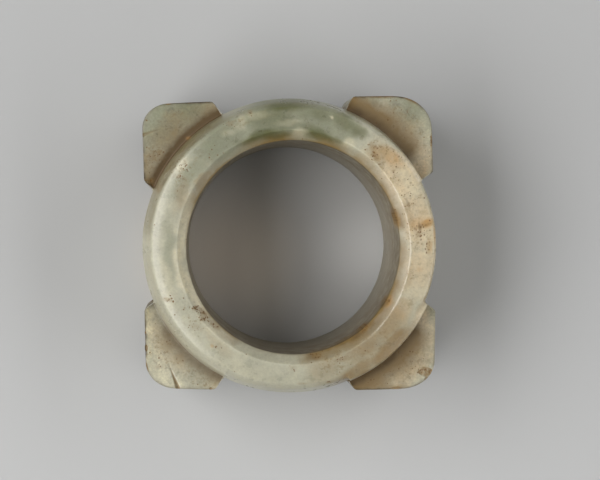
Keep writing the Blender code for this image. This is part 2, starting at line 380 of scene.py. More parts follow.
@dataclass(frozen=True)
class CornerBlock:
    """One corner block of the square, in the quadrant that its two signs give.

    A block has one side across X and one across Y. How far out a side stands is measured past
    the foot of the collar, at its end by the channel and at its end by the rounded corner. Its
    edge by the channel is measured from the axis that the channel crosses.
    """

    sign_x: int
    sign_y: int
    x_side_out: Pair
    y_side_out: Pair
    x_side_edge: float
    y_side_edge: float
    x_wall_run: float
    y_wall_run: float
    round_x: float
    round_y: float
    foot_trim: float = 0.45
    edge_trim: float = 0.24
    round_trim: float = 0.25
    round_steps: int = 9

    def corners(self, foot_radius: float) -> list[Triple]:
        """The block's plan from one channel to the other, anticlockwise round the ring.

        Args:
            foot_radius: Radius of the round tube that the channels show.

        Returns:
            The plan's corners, each with how far it is cut back to be rounded.
        """
        x_end = foot_radius + self.x_side_out[1]
        y_end = foot_radius + self.y_side_out[1]
        x_foot = self.x_side_edge - self.x_wall_run
        y_foot = self.y_side_edge - self.y_wall_run
        rows = [(math.sqrt(foot_radius**2 - x_foot**2), x_foot, self.foot_trim)]
        rows.append((foot_radius + self.x_side_out[0], self.x_side_edge, self.edge_trim))
        for k in range(self.round_steps + 1):
            turn = math.pi / 2 * k / self.round_steps
            x = x_end - self.round_x * (1.0 - math.cos(turn))
            rows.append((x, y_end - self.round_y * (1.0 - math.sin(turn)), self.round_trim))
        rows.append((self.y_side_edge, foot_radius + self.y_side_out[0], self.edge_trim))
        rows.append((y_foot, math.sqrt(foot_radius**2 - y_foot**2), self.foot_trim))
        placed = [(self.sign_x * x, self.sign_y * y, trim) for x, y, trim in rows]
        return placed if self.sign_x * self.sign_y > 0 else placed[::-1]


class Corner(Enum):
    """The four blocks, by where they stand in the photograph."""

    UPPER_RIGHT = CornerBlock(1, 1, (-0.30, -0.44), (0.27, 0.30), 7.72, 6.66, 0.82, 0.74, 3.9, 3.4)
    UPPER_LEFT = CornerBlock(-1, 1, (-0.16, 0.00), (-0.32, -0.52), 6.80, 8.08, 0.90, 0.95, 2.9, 2.6)
    LOWER_LEFT = CornerBlock(-1, -1, (-0.15, -0.25), (-0.34, -0.47), 6.56, 7.90, 0.60, 0.84, 3.2, 2.9)
    LOWER_RIGHT = CornerBlock(1, -1, (-0.08, -0.18), (-0.13, -0.21), 6.90, 6.78, 0.78, 0.68, 3.7, 2.9)


@dataclass(frozen=True)
class SectionCorner:
    """A corner of the ring's upright section, given where a channel is and where a block is.

    On a channel it lies at the radius and depth. On a block it lies as much higher as the lift
    says, and its radius gains the offset and a share of how far the block reaches past the tube.
    It moves with the bore and with the collar's oval by the next two shares. To the right of the
    ring it moves up and out by the two after them, and to the left not; over the lower right
    block it moves out by the last.
    """

    radius: float
    depth: float
    trim: float
    spacing: float
    lift: float = 0.0
    offset: float = 0.0
    reach: float = 0.0
    bore: float = 0.0
    oval: float = 0.0
    right_up: float = 0.0
    right_out: float = 0.0
    corner_out: float = 0.0


# where the sweep's attributes stand in a SectionCorner's numbers: the lengths, and the plain shares
LENGTHS = {
    "from_axis": 0, "above_table": 1, "lift": 4, "offset": 5,
    "right_up": 9, "right_out": 10, "corner_out": 11,
}
SHARES = {"reach": 6, "bore": 7, "oval": 8}


@dataclass
class RingForm:
    """The carved form: its plan, its section, and the sweep of one round the other."""

    height: float = 16.0
    rim_radius: float = 11.13
    bore_foot_radius: float = 10.88
    bore_shift: Pair = (0.27, -0.15)
    ledge_height: float = 9.0
    ledge_step: float = 0.09
    bore_steps: int = 18
    ridge_radius: float = 12.16
    arris_radius: float = 14.32
    foot_radius: float = 15.45
    rim_drop: float = 0.78
    arris_drop: float = 0.42
    collar_height: float = 3.0
    shoulder_hollow: float = 0.22
    land_width: float = 0.60
    shoulder_start: float = 0.50
    oval: float = 0.14
    lower_right: Pair = (0.788, -0.616)
    middling_reach: float = 2.6
    stations: int = 488
    plan_spacing: float = 0.25
    channel_steps: int = 16
    channel_trim: float = 0.30
    coarser: float = 3.6

    def plan(self) -> Array:
        """The outline of the ring from above, as one closed path.

        Returns:
            One row of X and Y per point.
        """
        rows: list[Triple] = []
        for corner in Corner:
            block = corner.value.corners(self.foot_radius)
            if rows:
                rows += self._channel(rows[-1], block[0])
            rows += block
        rows += self._channel(rows[-1], rows[0])
        table = np.array([rows[-1], *rows])
        spacings = [self.plan_spacing] * len(table)
        path = rounded_path(table[:, :2], table[:, 2], spacings, lambda points: points)[:-1]
        turn = np.unwrap(np.arctan2(path[:, 1], path[:, 0]))
        turn = np.maximum.accumulate(turn + 1e-5 * np.arange(len(turn)))
        distance = np.linalg.norm(path, axis=1)
        return np.column_stack([np.cos(turn) * distance, np.sin(turn) * distance])

    def _channel(self, last: Triple, following: Triple) -> list[Triple]:
        """The round floor of the channel between two blocks.

        Args:
            last: The last corner of one block.
            following: The first corner of the next.

        Returns:
            The corners between them, each with its trim.
        """
        start = math.atan2(last[1], last[0])
        sweep = (math.atan2(following[1], following[0]) - start) % math.tau
        turns = [start + sweep * k / self.channel_steps for k in range(1, self.channel_steps)]
        radius = self.foot_radius
        return [(radius * math.cos(turn), radius * math.sin(turn), self.channel_trim) for turn in turns]

    def half_section(self, top: bool) -> list[SectionCorner]:
        """The section's corners from the middle of the bore, over a face, to the middle of the side.

        Args:
            top: True for the photographed face, False for the underside, which is divided coarser.

        Returns:
            The corners in order. Depths are measured from that face.
        """
        step = 1.15 if top else self.coarser
        foot, shoulder, hollow = self.foot_radius, self.collar_height, self.shoulder_hollow
        ridge, arris, half_land = self.ridge_radius, self.arris_radius, self.land_width / 2
        drop = self.arris_drop
        rim = self.rim_radius if top else self.bore_foot_radius
        worn_ridge = [SectionCorner(ridge, 0.0, 0.07, 0.09, bore=1.0)]
        flat_ridge = [
            SectionCorner(ridge - half_land, 0.0, 0.04, 0.3, bore=1.0),
            SectionCorner(ridge + half_land, 0.0, 0.10, 0.3, bore=1.0),
        ]
        return [
            SectionCorner(rim, 1.15, 0.0, 0.10 * step, bore=1.0),
            SectionCorner(rim, self.rim_drop, 0.06, 0.11 * step, bore=1.0),
            SectionCorner(mix(rim, ridge, 0.55), 0.47 * self.rim_drop, 0.40, 0.11 * step, bore=1.0),
            *(worn_ridge if top else flat_ridge),
            SectionCorner(mix(ridge, arris, 0.60), 0.20 * drop, 0.85, 0.13 * step, bore=0.4, oval=0.5),
            SectionCorner(arris, drop, 0.14, 0.13 * step, oval=1.0, right_up=0.20, right_out=0.38),
            SectionCorner(
                mix(arris, foot, 0.60), 1.45, 0.40, 0.14 * step,
                oval=0.5, right_up=1.02, right_out=0.06, corner_out=0.55,
            ),
            SectionCorner(foot - 0.08, shoulder - 0.62, 0.15, 0.14 * step, right_out=0.05),
            SectionCorner(foot, shoulder - 0.42, 0.14, 0.12 * step, lift=-0.48, offset=0.02),
            SectionCorner(foot, shoulder - 0.22, 0.40, 0.15 * step, lift=-0.16, offset=0.62, reach=0.12),
            SectionCorner(foot, shoulder - 0.02, 0.16, 0.10 * step, lift=hollow, reach=1.0),
            SectionCorner(foot, shoulder + 0.55, 0.10, 0.85, reach=1.0),
            SectionCorner(foot, self.height / 2, 0.0, 0.85, reach=1.0),
        ]

    def section(self) -> Array:
        """The closed section, one row of a SectionCorner's numbers per point.

        Returns:
            The rows, with heights in place of depths.
        """
        halves: list[Array] = []
        for top in (True, False):
            rows = self.half_section(top)
            table = np.array([astuple(row) for row in rows])
            path = rounded_path(table, table[:, 2], table[:, 3], self._nominal)
            if top:
                path[:, 1] = self.height - path[:, 1]
            else:
                path[:, [LENGTHS["lift"], LENGTHS["right_up"]]] *= -1.0
            halves.append(path)
        upper, lower = halves
        return np.vstack([self._bore(lower[0], upper[0]), upper, lower[::-1][1:]])

    def _nominal(self, rows: Array) -> Array:
        """Radius and depth of section rows on a block of middling reach."""
        radius, depth, _, _, lift, offset, reach, *_ = rows.T
        return np.stack([radius + offset + reach * self.middling_reach, depth - lift], axis=1)

    def _bore(self, low: Array, high: Array) -> Array:
        """The wall of the bore, with a ledge where the two drillings meet.

        Args:
            low: The section row at the bore's lower end.
            high: The section row at its upper end.

        Returns:
            The rows between them.
        """
        rows = []
        for k in range(1, self.bore_steps):
            row = mix(low, high, k / self.bore_steps)
            rise = row[1] - self.ledge_height
            row[0] += self.ledge_step * (0.5 * math.tanh(rise / 0.22) - 0.5 * math.tanh(rise / 3.5))
            rows.append(row)
        return np.array(rows)

    def sweep_tree(self, profile: Thing, material: bpy.types.Material) -> FormTree:
        """The tree that carries the section round the plan.

        Args:
            profile: The section as a loop, with its numbers on its points.
            material: The finish that the mesh carries.

        Returns:
            The tree, to be run on the plan.
        """
        tree = FormTree("carved ring")
        section = tree.asks("Section", "Object", profile)
        stations = tree.asks("Stations", "Int", self.stations)
        foot = tree.asks("Tube radius", "Float", self.foot_radius * MM)
        start = tree.asks("Shoulder start", "Float", self.shoulder_start * MM)
        shift = tree.asks("Bore shift", "Vector", (self.bore_shift[0] * MM, self.bore_shift[1] * MM, 0.0))
        oval = tree.asks("Collar oval", "Float", self.oval * MM)
        dress = tree.asks("Material", "Material", material)

        rail = tree.add("GeometryNodeMeshToCurve", "Curve", {"Mesh": tree.inlet()})
        even = tree.add("GeometryNodeResampleCurve", "Curve", {"Curve": rail, "Count": stations})
        here = tree.add("GeometryNodeInputPosition", 0, {})
        marked = tree.store(even, "plan", here, "FLOAT_VECTOR")
        source = tree.add("GeometryNodeObjectInfo", "Geometry", {"Object": section})
        outline = tree.add("GeometryNodeMeshToCurve", "Curve", {"Mesh": source})
        skin = tree.add("GeometryNodeCurveToMesh", "Mesh", {"Curve": marked, "Profile Curve": outline})

        x, y, _ = tree.split(tree.named("plan", "FLOAT_VECTOR"))
        distance = tree.math("SQRT", x * x + y * y)
        cosine, sine = x / distance, y / distance
        room = tree.most(distance - foot, 0.0)
        grown = tree.rise(room, 0.0, start)
        shift_x, shift_y, _ = tree.split(shift)
        rightward = cosine * 0.5 + 0.5
        cornerward = tree.most(cosine * self.lower_right[0] + sine * self.lower_right[1], 0.0)
        pulls = {
            "offset": grown,
            "reach": room,
            "bore": shift_x * cosine + shift_y * sine,
            "oval": (cosine * cosine - sine * sine) * oval,
            "right_out": rightward,
            "corner_out": grown * cornerward,
        }
        radius = tree.named("from_axis")
        for name, pull in pulls.items():
            radius = tree.named(name) * pull + radius
        height = tree.named("lift") * grown + tree.named("above_table")
        height = tree.named("right_up") * rightward + height
        place = tree.add("ShaderNodeCombineXYZ", 0, {0: cosine * radius, 1: sine * radius, 2: height})
        tree.finish(tree.add("GeometryNodeSetPosition", 0, {"Geometry": skin, "Position": place}), dress)
        return tree

    def build(self, material: bpy.types.Material) -> Thing:
        """Sweeps the section round the plan.

        Args:
            material: The finish that the mesh carries.

        Returns:
            The body as an object, with its faces pointing out.
        """
        plan = self.plan()
        rail = loop_object("plan_outline", np.column_stack([plan, np.zeros(len(plan))]) * MM, {})
        rows = self.section()
        reach = self.middling_reach * rows[:, SHARES["reach"]]
        places = np.column_stack([rows[:, 0] + reach, rows[:, 1], np.zeros(len(rows))]) * MM
        columns = {name: rows[:, i] * MM for name, i in LENGTHS.items()}
        columns |= {name: rows[:, i] for name, i in SHARES.items()}
        profile = loop_object("section_outline", places, columns)
        mesh = self.sweep_tree(profile, material).run(rail)
        bpy.data.objects.remove(rail)
        bpy.data.objects.remove(profile)
        bm = bmesh.new()
        bm.from_mesh(mesh)
        bmesh.ops.recalc_face_normals(bm, faces=bm.faces)
        bm.to_mesh(mesh)
        bm.free()
        mesh.name = "carved_ring"
        log.info("form: %d by %d points, %d faces", len(plan), len(rows), len(mesh.polygons))
        return shown("carved_ring", mesh)


@dataclass(frozen=True)
class Groove:
    """A V cut from start to end, as wide as given above its bottom, which rises along it."""

    start: Pair
    end: Pair
    width: float
    bottom: Pair
    dirt: float = 1.0
    shoulder: float = 13.24
    lowest: float = 12.2
    block_radius: float = 15.7

    def split(self, places: Array) -> tuple[Array, Array]:
        """Measures places along the groove and across it.

        Args:
            places: Places in millimetres, one row each.

        Returns:
            Each place's share of the way along, and its distance from the middle line.
        """
        start, way = np.array(self.start), np.array(self.end) - np.array(self.start)
        off = places[:, :2] - start
        share = off @ way / (way @ way)
        aside = np.abs(off @ np.array([-way[1], way[0]])) / np.linalg.norm(way)
        return share, aside

    def near(self, places: Array, margin: float) -> Array:
        """Which places lie within a margin of the groove.

        Args:
            places: Places in millimetres, one row each.
            margin: How far past the groove still counts.

        Returns:
            True for each place that is near.
        """
        share, aside = self.split(places)
        length = math.dist(self.start, self.end)
        inside = (share * length > -margin - 0.6) & (share * length < length + margin)
        return inside & (aside < self.width / 2 + margin) & (places[:, 2] > self.lowest - 0.2)

    def cut(self, places: Array) -> Array:
        """Lowers the places that lie above the groove's two sides.

        Args:
            places: Places in millimetres, one row each. They are changed.

        Returns:
            How dirty each place is.
        """
        share, aside = self.split(places)
        along = np.clip(share, -0.3, 1.0)
        past = np.clip(share - 1.0, 0.0, None) * math.dist(self.start, self.end)
        steep = 2.0 * (self.shoulder - self.bottom[0]) / self.width
        floor = mix(self.bottom[0], self.bottom[1], along) + past * 0.9
        floor = floor + np.sqrt(aside**2 + 0.02**2) * steep
        top = (places[:, 2] > self.lowest) & (np.hypot(places[:, 0], places[:, 1]) > self.block_radius)
        sunk = np.where(top, np.clip(places[:, 2] - floor, 0.0, None), 0.0)
        places[:, 2] -= sunk
        return self.dirt * smoothstep(sunk, 0.01, 0.12)


@dataclass(frozen=True)
class Scoop:
    """A chip or a nick: a flattened ball that bites into the surface, rough inside."""

    centre: Triple
    size: Triple
    turn: float = 0.0
    rough: float = 0.12
    dirt: float = 1.0

    def local(self, places: Array) -> Array:
        """Places in the ball's own measure, in which it has a radius of one.

        Args:
            places: Places in millimetres, one row each.

        Returns:
            The places from the ball's middle, in its own three radii.
        """
        turn = math.radians(self.turn)
        off = places - np.array(self.centre)
        u = off[:, 0] * math.cos(turn) + off[:, 1] * math.sin(turn)
        v = off[:, 1] * math.cos(turn) - off[:, 0] * math.sin(turn)
        return np.column_stack([u, v, off[:, 2]]) / np.array(self.size)

    def near(self, places: Array, margin: float) -> Array:
        """Which places lie within a margin of the scoop."""
        return np.linalg.norm(self.local(places), axis=1) < 1.0 + margin / min(self.size[:2])

    def cut(self, places: Array) -> Array:
        """Presses the places inside the ball down to its skin.

        Args:
            places: Places in millimetres, one row each. They are changed.

        Returns:
            How dirty each place is.
        """
        shake = np.array([noise.noise(Vector(row) * 2.6) for row in (places + 3.1)])
        flat = np.linalg.norm(self.local(places)[:, :2], axis=1)
        reach = np.clip(1.0 - flat**2, 0.0, None)
        uneven = self.rough * 3.0 * shake * np.clip(reach * 4, 0, 1)
        skin = self.centre[2] - self.size[2] * (np.sqrt(reach) + uneven)
        above = (places[:, 2] > skin) & (places[:, 2] > self.centre[2] - 2.0 * self.size[2])
        sunk = np.where((flat < 1.0) & above, places[:, 2] - skin, 0.0)
        places[:, 2] -= sunk
        return self.dirt * smoothstep(sunk, 0.01, 0.08)


@dataclass(frozen=True)
class Trail:
    """Small dirt-filled pits strewn along a line from start to end."""

    start: Pair
    end: Pair
    count: int
    spread: float
    smallest: float
    largest: float

    def pits(self, chance: random.Random) -> list[Triple]:
        """Where the pits lie and how wide they are: x, y and radius.

        Args:
            chance: The source of chance.

        Returns:
            A row of x, y and radius per pit.
        """
        rows = []
        for k in range(self.count):
            share = (k + chance.uniform(0.1, 0.9)) / self.count
            x = mix(self.start[0], self.end[0], share) + chance.gauss(0.0, self.spread)
            y = mix(self.start[1], self.end[1], share) + chance.gauss(0.0, self.spread)
            rows.append((x, y, mix(self.smallest, self.largest, chance.random() ** 2)))
        return rows


class Tint(Enum):
    """What a stain is made of. The value names the attribute that carries it."""

    OLIVE = "olive"
    CELADON = "celadon"
    PALE = "pale"
    CREAM = "cream"
    TAN = "tan"
    RUST = "rust"
    HAZE = "haze"
    SPECKS = "specks"
    BROWN = "brown"

    @property
    def in_the_stone(self) -> bool:
        """Whether it is the stone's own colour, which runs right through it."""
        return self in (Tint.OLIVE, Tint.CELADON, Tint.PALE, Tint.CREAM, Tint.TAN)


@dataclass(frozen=True)
class Stain:
    """A soft-edged patch, placed on the ring as seen from above.

    It is full out to the core's share of its half length and half width, and gone at the hem's.
    """

    x: float
    y: float
    length: float
    width: float
    turn: float
    strength: float
    core: float = 0.35
    hem: float = 1.30

    def cover(self, places: Array) -> Array:
        """How strongly the stain lies on each place.

        Args:
            places: Places in millimetres, one row each.

        Returns:
            The stain's strength at each place, from 0 to 1.
        """
        turn = math.radians(self.turn)
        x, y = places[:, 0] - self.x, places[:, 1] - self.y
        u = (x * math.cos(turn) + y * math.sin(turn)) / (self.length / 2)
        v = (y * math.cos(turn) - x * math.sin(turn)) / (self.width / 2)
        return self.strength * fade(np.hypot(u, v), self.core, self.hem)


def arc_stain(azimuth: float, radius: float, along: float, across: float, strength: float) -> Stain:
    """A stain whose length lies round the ring, from its azimuth and radius."""
    turn = math.radians(azimuth)
    return Stain(radius * math.cos(turn), radius * math.sin(turn), along, across, azimuth + 90.0, strength)


GROOVES = (
    Groove((-15.42, 11.56), (-13.15, 12.34), 0.46, (12.97, 13.09), 0.45),
    Groove((-11.78, -14.90), (-12.85, -12.10), 0.56, (12.86, 13.08), 0.75),
    Groove((-15.40, 7.02), (-14.50, 6.48), 0.14, (12.98, 13.02), 1.0),
)
SCOOPS = (
    Scoop((14.34, -13.34, 13.20), (0.86, 0.52, 0.15), -10.0, 0.34, 0.7),
    Scoop((15.02, -12.86, 13.24), (0.26, 0.26, 0.14), 0.0, 0.15, 0.0),
    Scoop((14.42, -14.12, 13.22), (0.36, 0.20, 0.14), 50.0, 0.2, 0.8),
    Scoop((-15.24, -9.12, 13.20), (0.16, 0.14, 0.18), 0.0, 0.1),
    Scoop((-15.12, -10.70, 13.18), (0.20, 0.34, 0.24), 4.0, 0.1),
    Scoop((-15.06, -12.75, 13.20), (0.16, 0.62, 0.18), 12.0, 0.2, 0.8),
    Scoop((-12.74, 14.86, 13.24), (0.42, 0.16, 0.14), 8.0, 0.1, 0.9),
    Scoop((15.02, 11.15, 13.22), (0.16, 0.42, 0.16), 0.0, 0.2, 0.7),
    Scoop((12.95, 15.42, 13.24), (0.70, 0.16, 0.12), -22.0, 0.2, 0.6),
    Scoop((11.30, -15.10, 13.22), (0.62, 0.20, 0.12), 2.0, 0.2, 0.6),
    Scoop((-8.30, -15.02, 13.22), (0.18, 0.16, 0.14), 0.0, 0.1, 1.0),
)
TRAILS = (
    # the forked crack on the right of the collar
    Trail((11.95, 4.10), (12.60, 4.45), 7, 0.07, 0.04, 0.09),
    Trail((12.60, 4.45), (12.85, 4.95), 4, 0.06, 0.04, 0.08),
    Trail((12.80, 1.75), (13.95, 2.10), 12, 0.10, 0.05, 0.12),
    Trail((13.95, 2.10), (14.75, 2.45), 8, 0.06, 0.04, 0.09),
    Trail((12.95, 1.75), (13.45, 1.15), 7, 0.08, 0.05, 0.10),
    Trail((13.45, 1.45), (13.55, 0.70), 5, 0.06, 0.04, 0.09),
    Trail((14.25, 0.60), (14.35, -0.95), 9, 0.16, 0.05, 0.10),
    Trail((12.20, 1.05), (13.05, -0.60), 5, 0.35, 0.04, 0.08),
    # the brown clusters on the upper right
    Trail((8.05, 10.75), (8.75, 9.95), 8, 0.16, 0.05, 0.10),
    Trail((8.70, 10.00), (8.60, 8.90), 9, 0.14, 0.05, 0.12),
    Trail((8.75, 8.90), (9.60, 8.10), 7, 0.14, 0.04, 0.09),
    Trail((10.90, 8.10), (12.60, 5.60), 10, 0.45, 0.03, 0.07),
    Trail((10.05, 4.60), (10.30, 4.20), 3, 0.08, 0.07, 0.13),
    Trail((10.75, 3.80), (11.05, 2.50), 8, 0.08, 0.06, 0.12),
    Trail((11.20, 6.90), (11.45, 6.00), 4, 0.20, 0.04, 0.08),
    # the left and lower left, by the rim and on the arris
    Trail((-13.15, -5.35), (-12.25, -5.75), 7, 0.14, 0.05, 0.12),
    Trail((-12.60, -5.00), (-12.30, -5.25), 2, 0.08, 0.08, 0.13),
    Trail((-10.15, -6.20), (-9.75, -6.65), 9, 0.10, 0.07, 0.15),
    Trail((-9.55, -6.30), (-8.75, -7.60), 12, 0.12, 0.06, 0.13),
    Trail((-9.55, -7.20), (-8.75, -7.95), 10, 0.18, 0.05, 0.11),
    Trail((-8.60, -7.70), (-7.50, -8.60), 9, 0.10, 0.05, 0.12),
    Trail((-10.55, -8.10), (-9.60, -8.75), 9, 0.22, 0.04, 0.09),
    Trail((-8.20, -10.45), (-7.00, -10.65), 3, 0.10, 0.05, 0.10),
    # the pitted spot on the upper left
    Trail((-11.95, 8.75), (-10.85, 7.95), 14, 0.26, 0.04, 0.10),
    Trail((-10.85, 8.00), (-10.65, 7.85), 2, 0.04, 0.09, 0.14),
    Trail((-11.75, 7.35), (-11.55, 7.10), 4, 0.08, 0.06, 0.11),
    Trail((-8.60, 9.45), (-8.20, 9.00), 4, 0.16, 0.04, 0.09),
    Trail((-6.60, 12.95), (-6.10, 12.40), 6, 0.22, 0.04, 0.09),
    Trail((-4.30, 14.00), (-4.20, 13.60), 4, 0.12, 0.05, 0.10),
    Trail((-14.14, 2.25), (-14.10, 2.20), 1, 0.00, 0.10, 0.13),
    # the foot of the picture
    Trail((2.20, -11.20), (3.00, -11.60), 9, 0.16, 0.05, 0.11),
    Trail((4.80, -11.90), (5.60, -11.60), 9, 0.12, 0.05, 0.10),
    Trail((5.30, -13.90), (6.20, -13.40), 8, 0.22, 0.04, 0.09),
    Trail((3.85, -14.20), (4.05, -14.15), 3, 0.05, 0.07, 0.12),
    Trail((-0.10, -12.30), (0.40, -12.90), 6, 0.16, 0.04, 0.08),
    Trail((7.30, -8.90), (8.10, -8.35), 9, 0.10, 0.06, 0.13),
    Trail((9.90, -6.10), (10.30, -5.40), 7, 0.10, 0.06, 0.12),
    Trail((10.60, -9.60), (11.80, -8.60), 6, 0.30, 0.03, 0.07),
    # the blocks
    Trail((-14.40, 9.70), (-13.30, 9.00), 14, 0.34, 0.04, 0.10),
    Trail((-14.80, 6.90), (-14.30, 6.35), 6, 0.14, 0.05, 0.10),
    Trail((-15.05, 13.20), (-14.95, 13.05), 2, 0.04, 0.07, 0.11),
    Trail((-13.60, -11.30), (-12.70, -11.10), 7, 0.20, 0.04, 0.09),
    Trail((-13.00, -10.30), (-12.70, -9.80), 5, 0.14, 0.04, 0.09),
    Trail((-12.00, -11.60), (-11.40, -12.20), 10, 0.20, 0.04, 0.09),
    Trail((-14.00, -12.70), (-13.50, -12.65), 6, 0.14, 0.04, 0.09),
    Trail((13.65, -13.25), (15.00, -13.35), 16, 0.16, 0.06, 0.13),
    Trail((11.50, -11.90), (12.10, -13.30), 6, 0.40, 0.03, 0.07),
    Trail((14.90, 11.60), (15.00, 10.30), 8, 0.06, 0.05, 0.10),
)
# azimuth, radius, length round the ring, width across it, strength
ARC_STAINS: dict[Tint, tuple[tuple[float, ...], ...]] = {
    Tint.CELADON: (
        (66, 13.2, 3.4, 5.6, 0.8),
        (78, 13.2, 6, 6.4, 0.95),
        (100, 13.2, 8, 6.4, 1),
        (124, 13.2, 8, 5.6, 0.95),
        (143, 12.6, 5, 2.6, 0.75),
        (152, 13.2, 4, 2.6, 0.4),
        (184, 12.6, 8, 1.2, 0.5),
        (133, 18.4, 10, 7, 0.9),
        (48, 19, 8, 4, 0.55),
        (62, 17, 3, 2.6, 0.55),
    ),
    Tint.OLIVE: (
        (124, 18, 4, 4, 0.3),
        (92, 14.9, 6.4, 2.2, 0.8),
        (78, 14, 2.6, 1.6, 0.3),
        (67, 14.2, 3, 1.6, 0.45),
        (61, 13.9, 2.6, 1.6, 0.55),
        (90, 12.2, 3.4, 1.4, 0.35),
        (105, 11.8, 5.4, 1.5, 0.85),
        (76, 11.8, 4.4, 1.6, 0.8),
        (97, 13.2, 6, 2.6, 0.35),
        (47, 19, 2.6, 2.2, 0.25),
        (98, 11.5, 4, 1.2, 0.85),
    ),
    Tint.PALE: (
        # the first two rows paint light onto the inner band on the left, where light shines through the stone
        (174, 11.35, 8, 1.7, 1),
        (206, 11.35, 8, 1.7, 1),
        (228, 11.5, 4, 1.5, 0.35),
        (196, 13.3, 6, 1.6, 0.3),
        (105, 13.9, 2.6, 1, 0.35),
        (30, 13.9, 4, 1.3, 0.4),
        (0, 14, 3, 1.3, 0.45),
        (245, 13.9, 8, 2, 0.15),
        (213, 18.4, 5, 3, 0.35),
        (232, 19, 4, 2, 0.35),
        (113, 13.7, 2.2, 1, 0.35),
        (119, 13.6, 1.6, 1, 0.3),
        (92, 12.7, 3.6, 0.7, 0.4),
        (86, 11.6, 2, 0.7, 0.5),
        (61, 12.2, 1.8, 1.4, 0.45),
        (72, 13.98, 0.5, 0.3, 1),
        (144, 13.9, 2.6, 1.4, 0.45),
        (157, 12.1, 1.8, 0.8, 0.25),
        (226, 18.9, 5, 2.6, 0.35),
        (209, 16.9, 3, 2.8, 0.75),
        (244, 16.7, 3, 2.2, 0.55),
    ),
    Tint.CREAM: (
        (33, 13.3, 6, 5.2, 0.95),
        (12, 13.3, 8, 5.2, 0.95),
        (352, 13.5, 6, 5.2, 0.85),
        (341, 13.5, 4, 4.6, 0.4),
        (331, 13.4, 4, 2.4, 0.65),
        (44, 12.6, 3, 1.2, 0.5),
        (47, 13, 3, 4, 0.45),
        (34, 17.4, 3, 3, 0.2),
        (32, 17.6, 3, 3, 0.5),
        (34, 16.9, 4, 2.6, 0.7),
        (218, 16.8, 8, 3, 0.35),
        (42, 17.9, 4, 2.6, 0.55),
        (30, 16.1, 3, 2.4, 1),
        (328, 17.2, 4, 3, 0.45),
        # this row is partly the stone's cream tone, partly painted light lifting the collar's shadow on the
        # lower right block
        (331, 16, 3.4, 2.2, 0.85),
        (312, 18.7, 7, 2.4, 0.6),
    ),
    Tint.TAN: (
        (322, 13, 6, 4.6, 0.7),
        (306, 12.6, 6, 4, 0.65),
        (288, 12, 5, 2.4, 0.5),
        (47, 13.2, 2.6, 2, 0.35),
        (156, 12.6, 4, 1.6, 0.4),
        (285, 13.2, 4, 3.4, 0.4),
        (344, 12.4, 4, 1.1, 0.35),
        (14, 12.4, 3.4, 1.1, 0.35),
        (232, 12.5, 5, 1.1, 0.25),
        (137, 17.6, 7, 3.4, 0.4),
        (150, 17.6, 3.6, 3, 0.45),
        (48, 17.2, 7, 3, 0.4),
        (316, 17.4, 8, 4.6, 0.6),
        (301, 17.4, 4, 4.4, 0.75),
        # the next two rows are partly painted shade on the collar's outer wall on the lower right
        (315, 15, 8, 2.4, 0.9),
        (298, 15, 6, 2.4, 0.75),
        (308, 13.6, 8, 2.4, 0.55),
        (340, 15, 5, 0.9, 0.55),
        (158, 11.5, 3, 0.8, 0.5),
        (145, 11.4, 3, 0.7, 0.5),
        (236, 11.5, 3, 0.7, 0.4),
        (280, 11.8, 3, 1.6, 0.6),
    ),
    Tint.BROWN: (
        (309, 11.45, 2.6, 0.9, 0.9),
        (298, 11.4, 1.6, 0.5, 0.5),
        (329, 11.4, 1.5, 0.7, 1),
        (316, 12, 2.4, 0.8, 0.35),
        (16, 11.35, 1.8, 0.5, 0.95),
        (20, 12.9, 1, 0.35, 0.55),
        (8, 13.5, 1, 0.4, 0.6),
        (281, 11.7, 1.6, 0.9, 0.4),
        (216, 11.45, 1.4, 0.6, 0.35),
    ),
    Tint.SPECKS: (
        (44, 13.6, 5, 3.6, 0.8),
        (24, 13.4, 5, 3.6, 0.6),
        (6, 13.2, 3.6, 3.4, 0.8),
        (345, 13.2, 4, 3, 0.4),
        (310, 13, 6, 3.4, 0.5),
        (290, 12.8, 4, 3.4, 0.6),
        (216, 12.4, 4.5, 3, 0.6),
        (145, 13.6, 3.6, 2.2, 0.7),
        (147, 16.9, 3.4, 2.6, 0.8),
        (113, 14, 3, 1.6, 0.5),
        (218, 17.4, 5, 4, 0.8),
        (316, 17.6, 4, 4, 0.7),
        (46, 17.6, 8, 3.6, 0.5),
        (128, 17.4, 7, 3.4, 0.45),
        (304, 16.8, 5, 2.6, 0.6),
        (236, 16.8, 5, 2.6, 0.6),
    ),
}

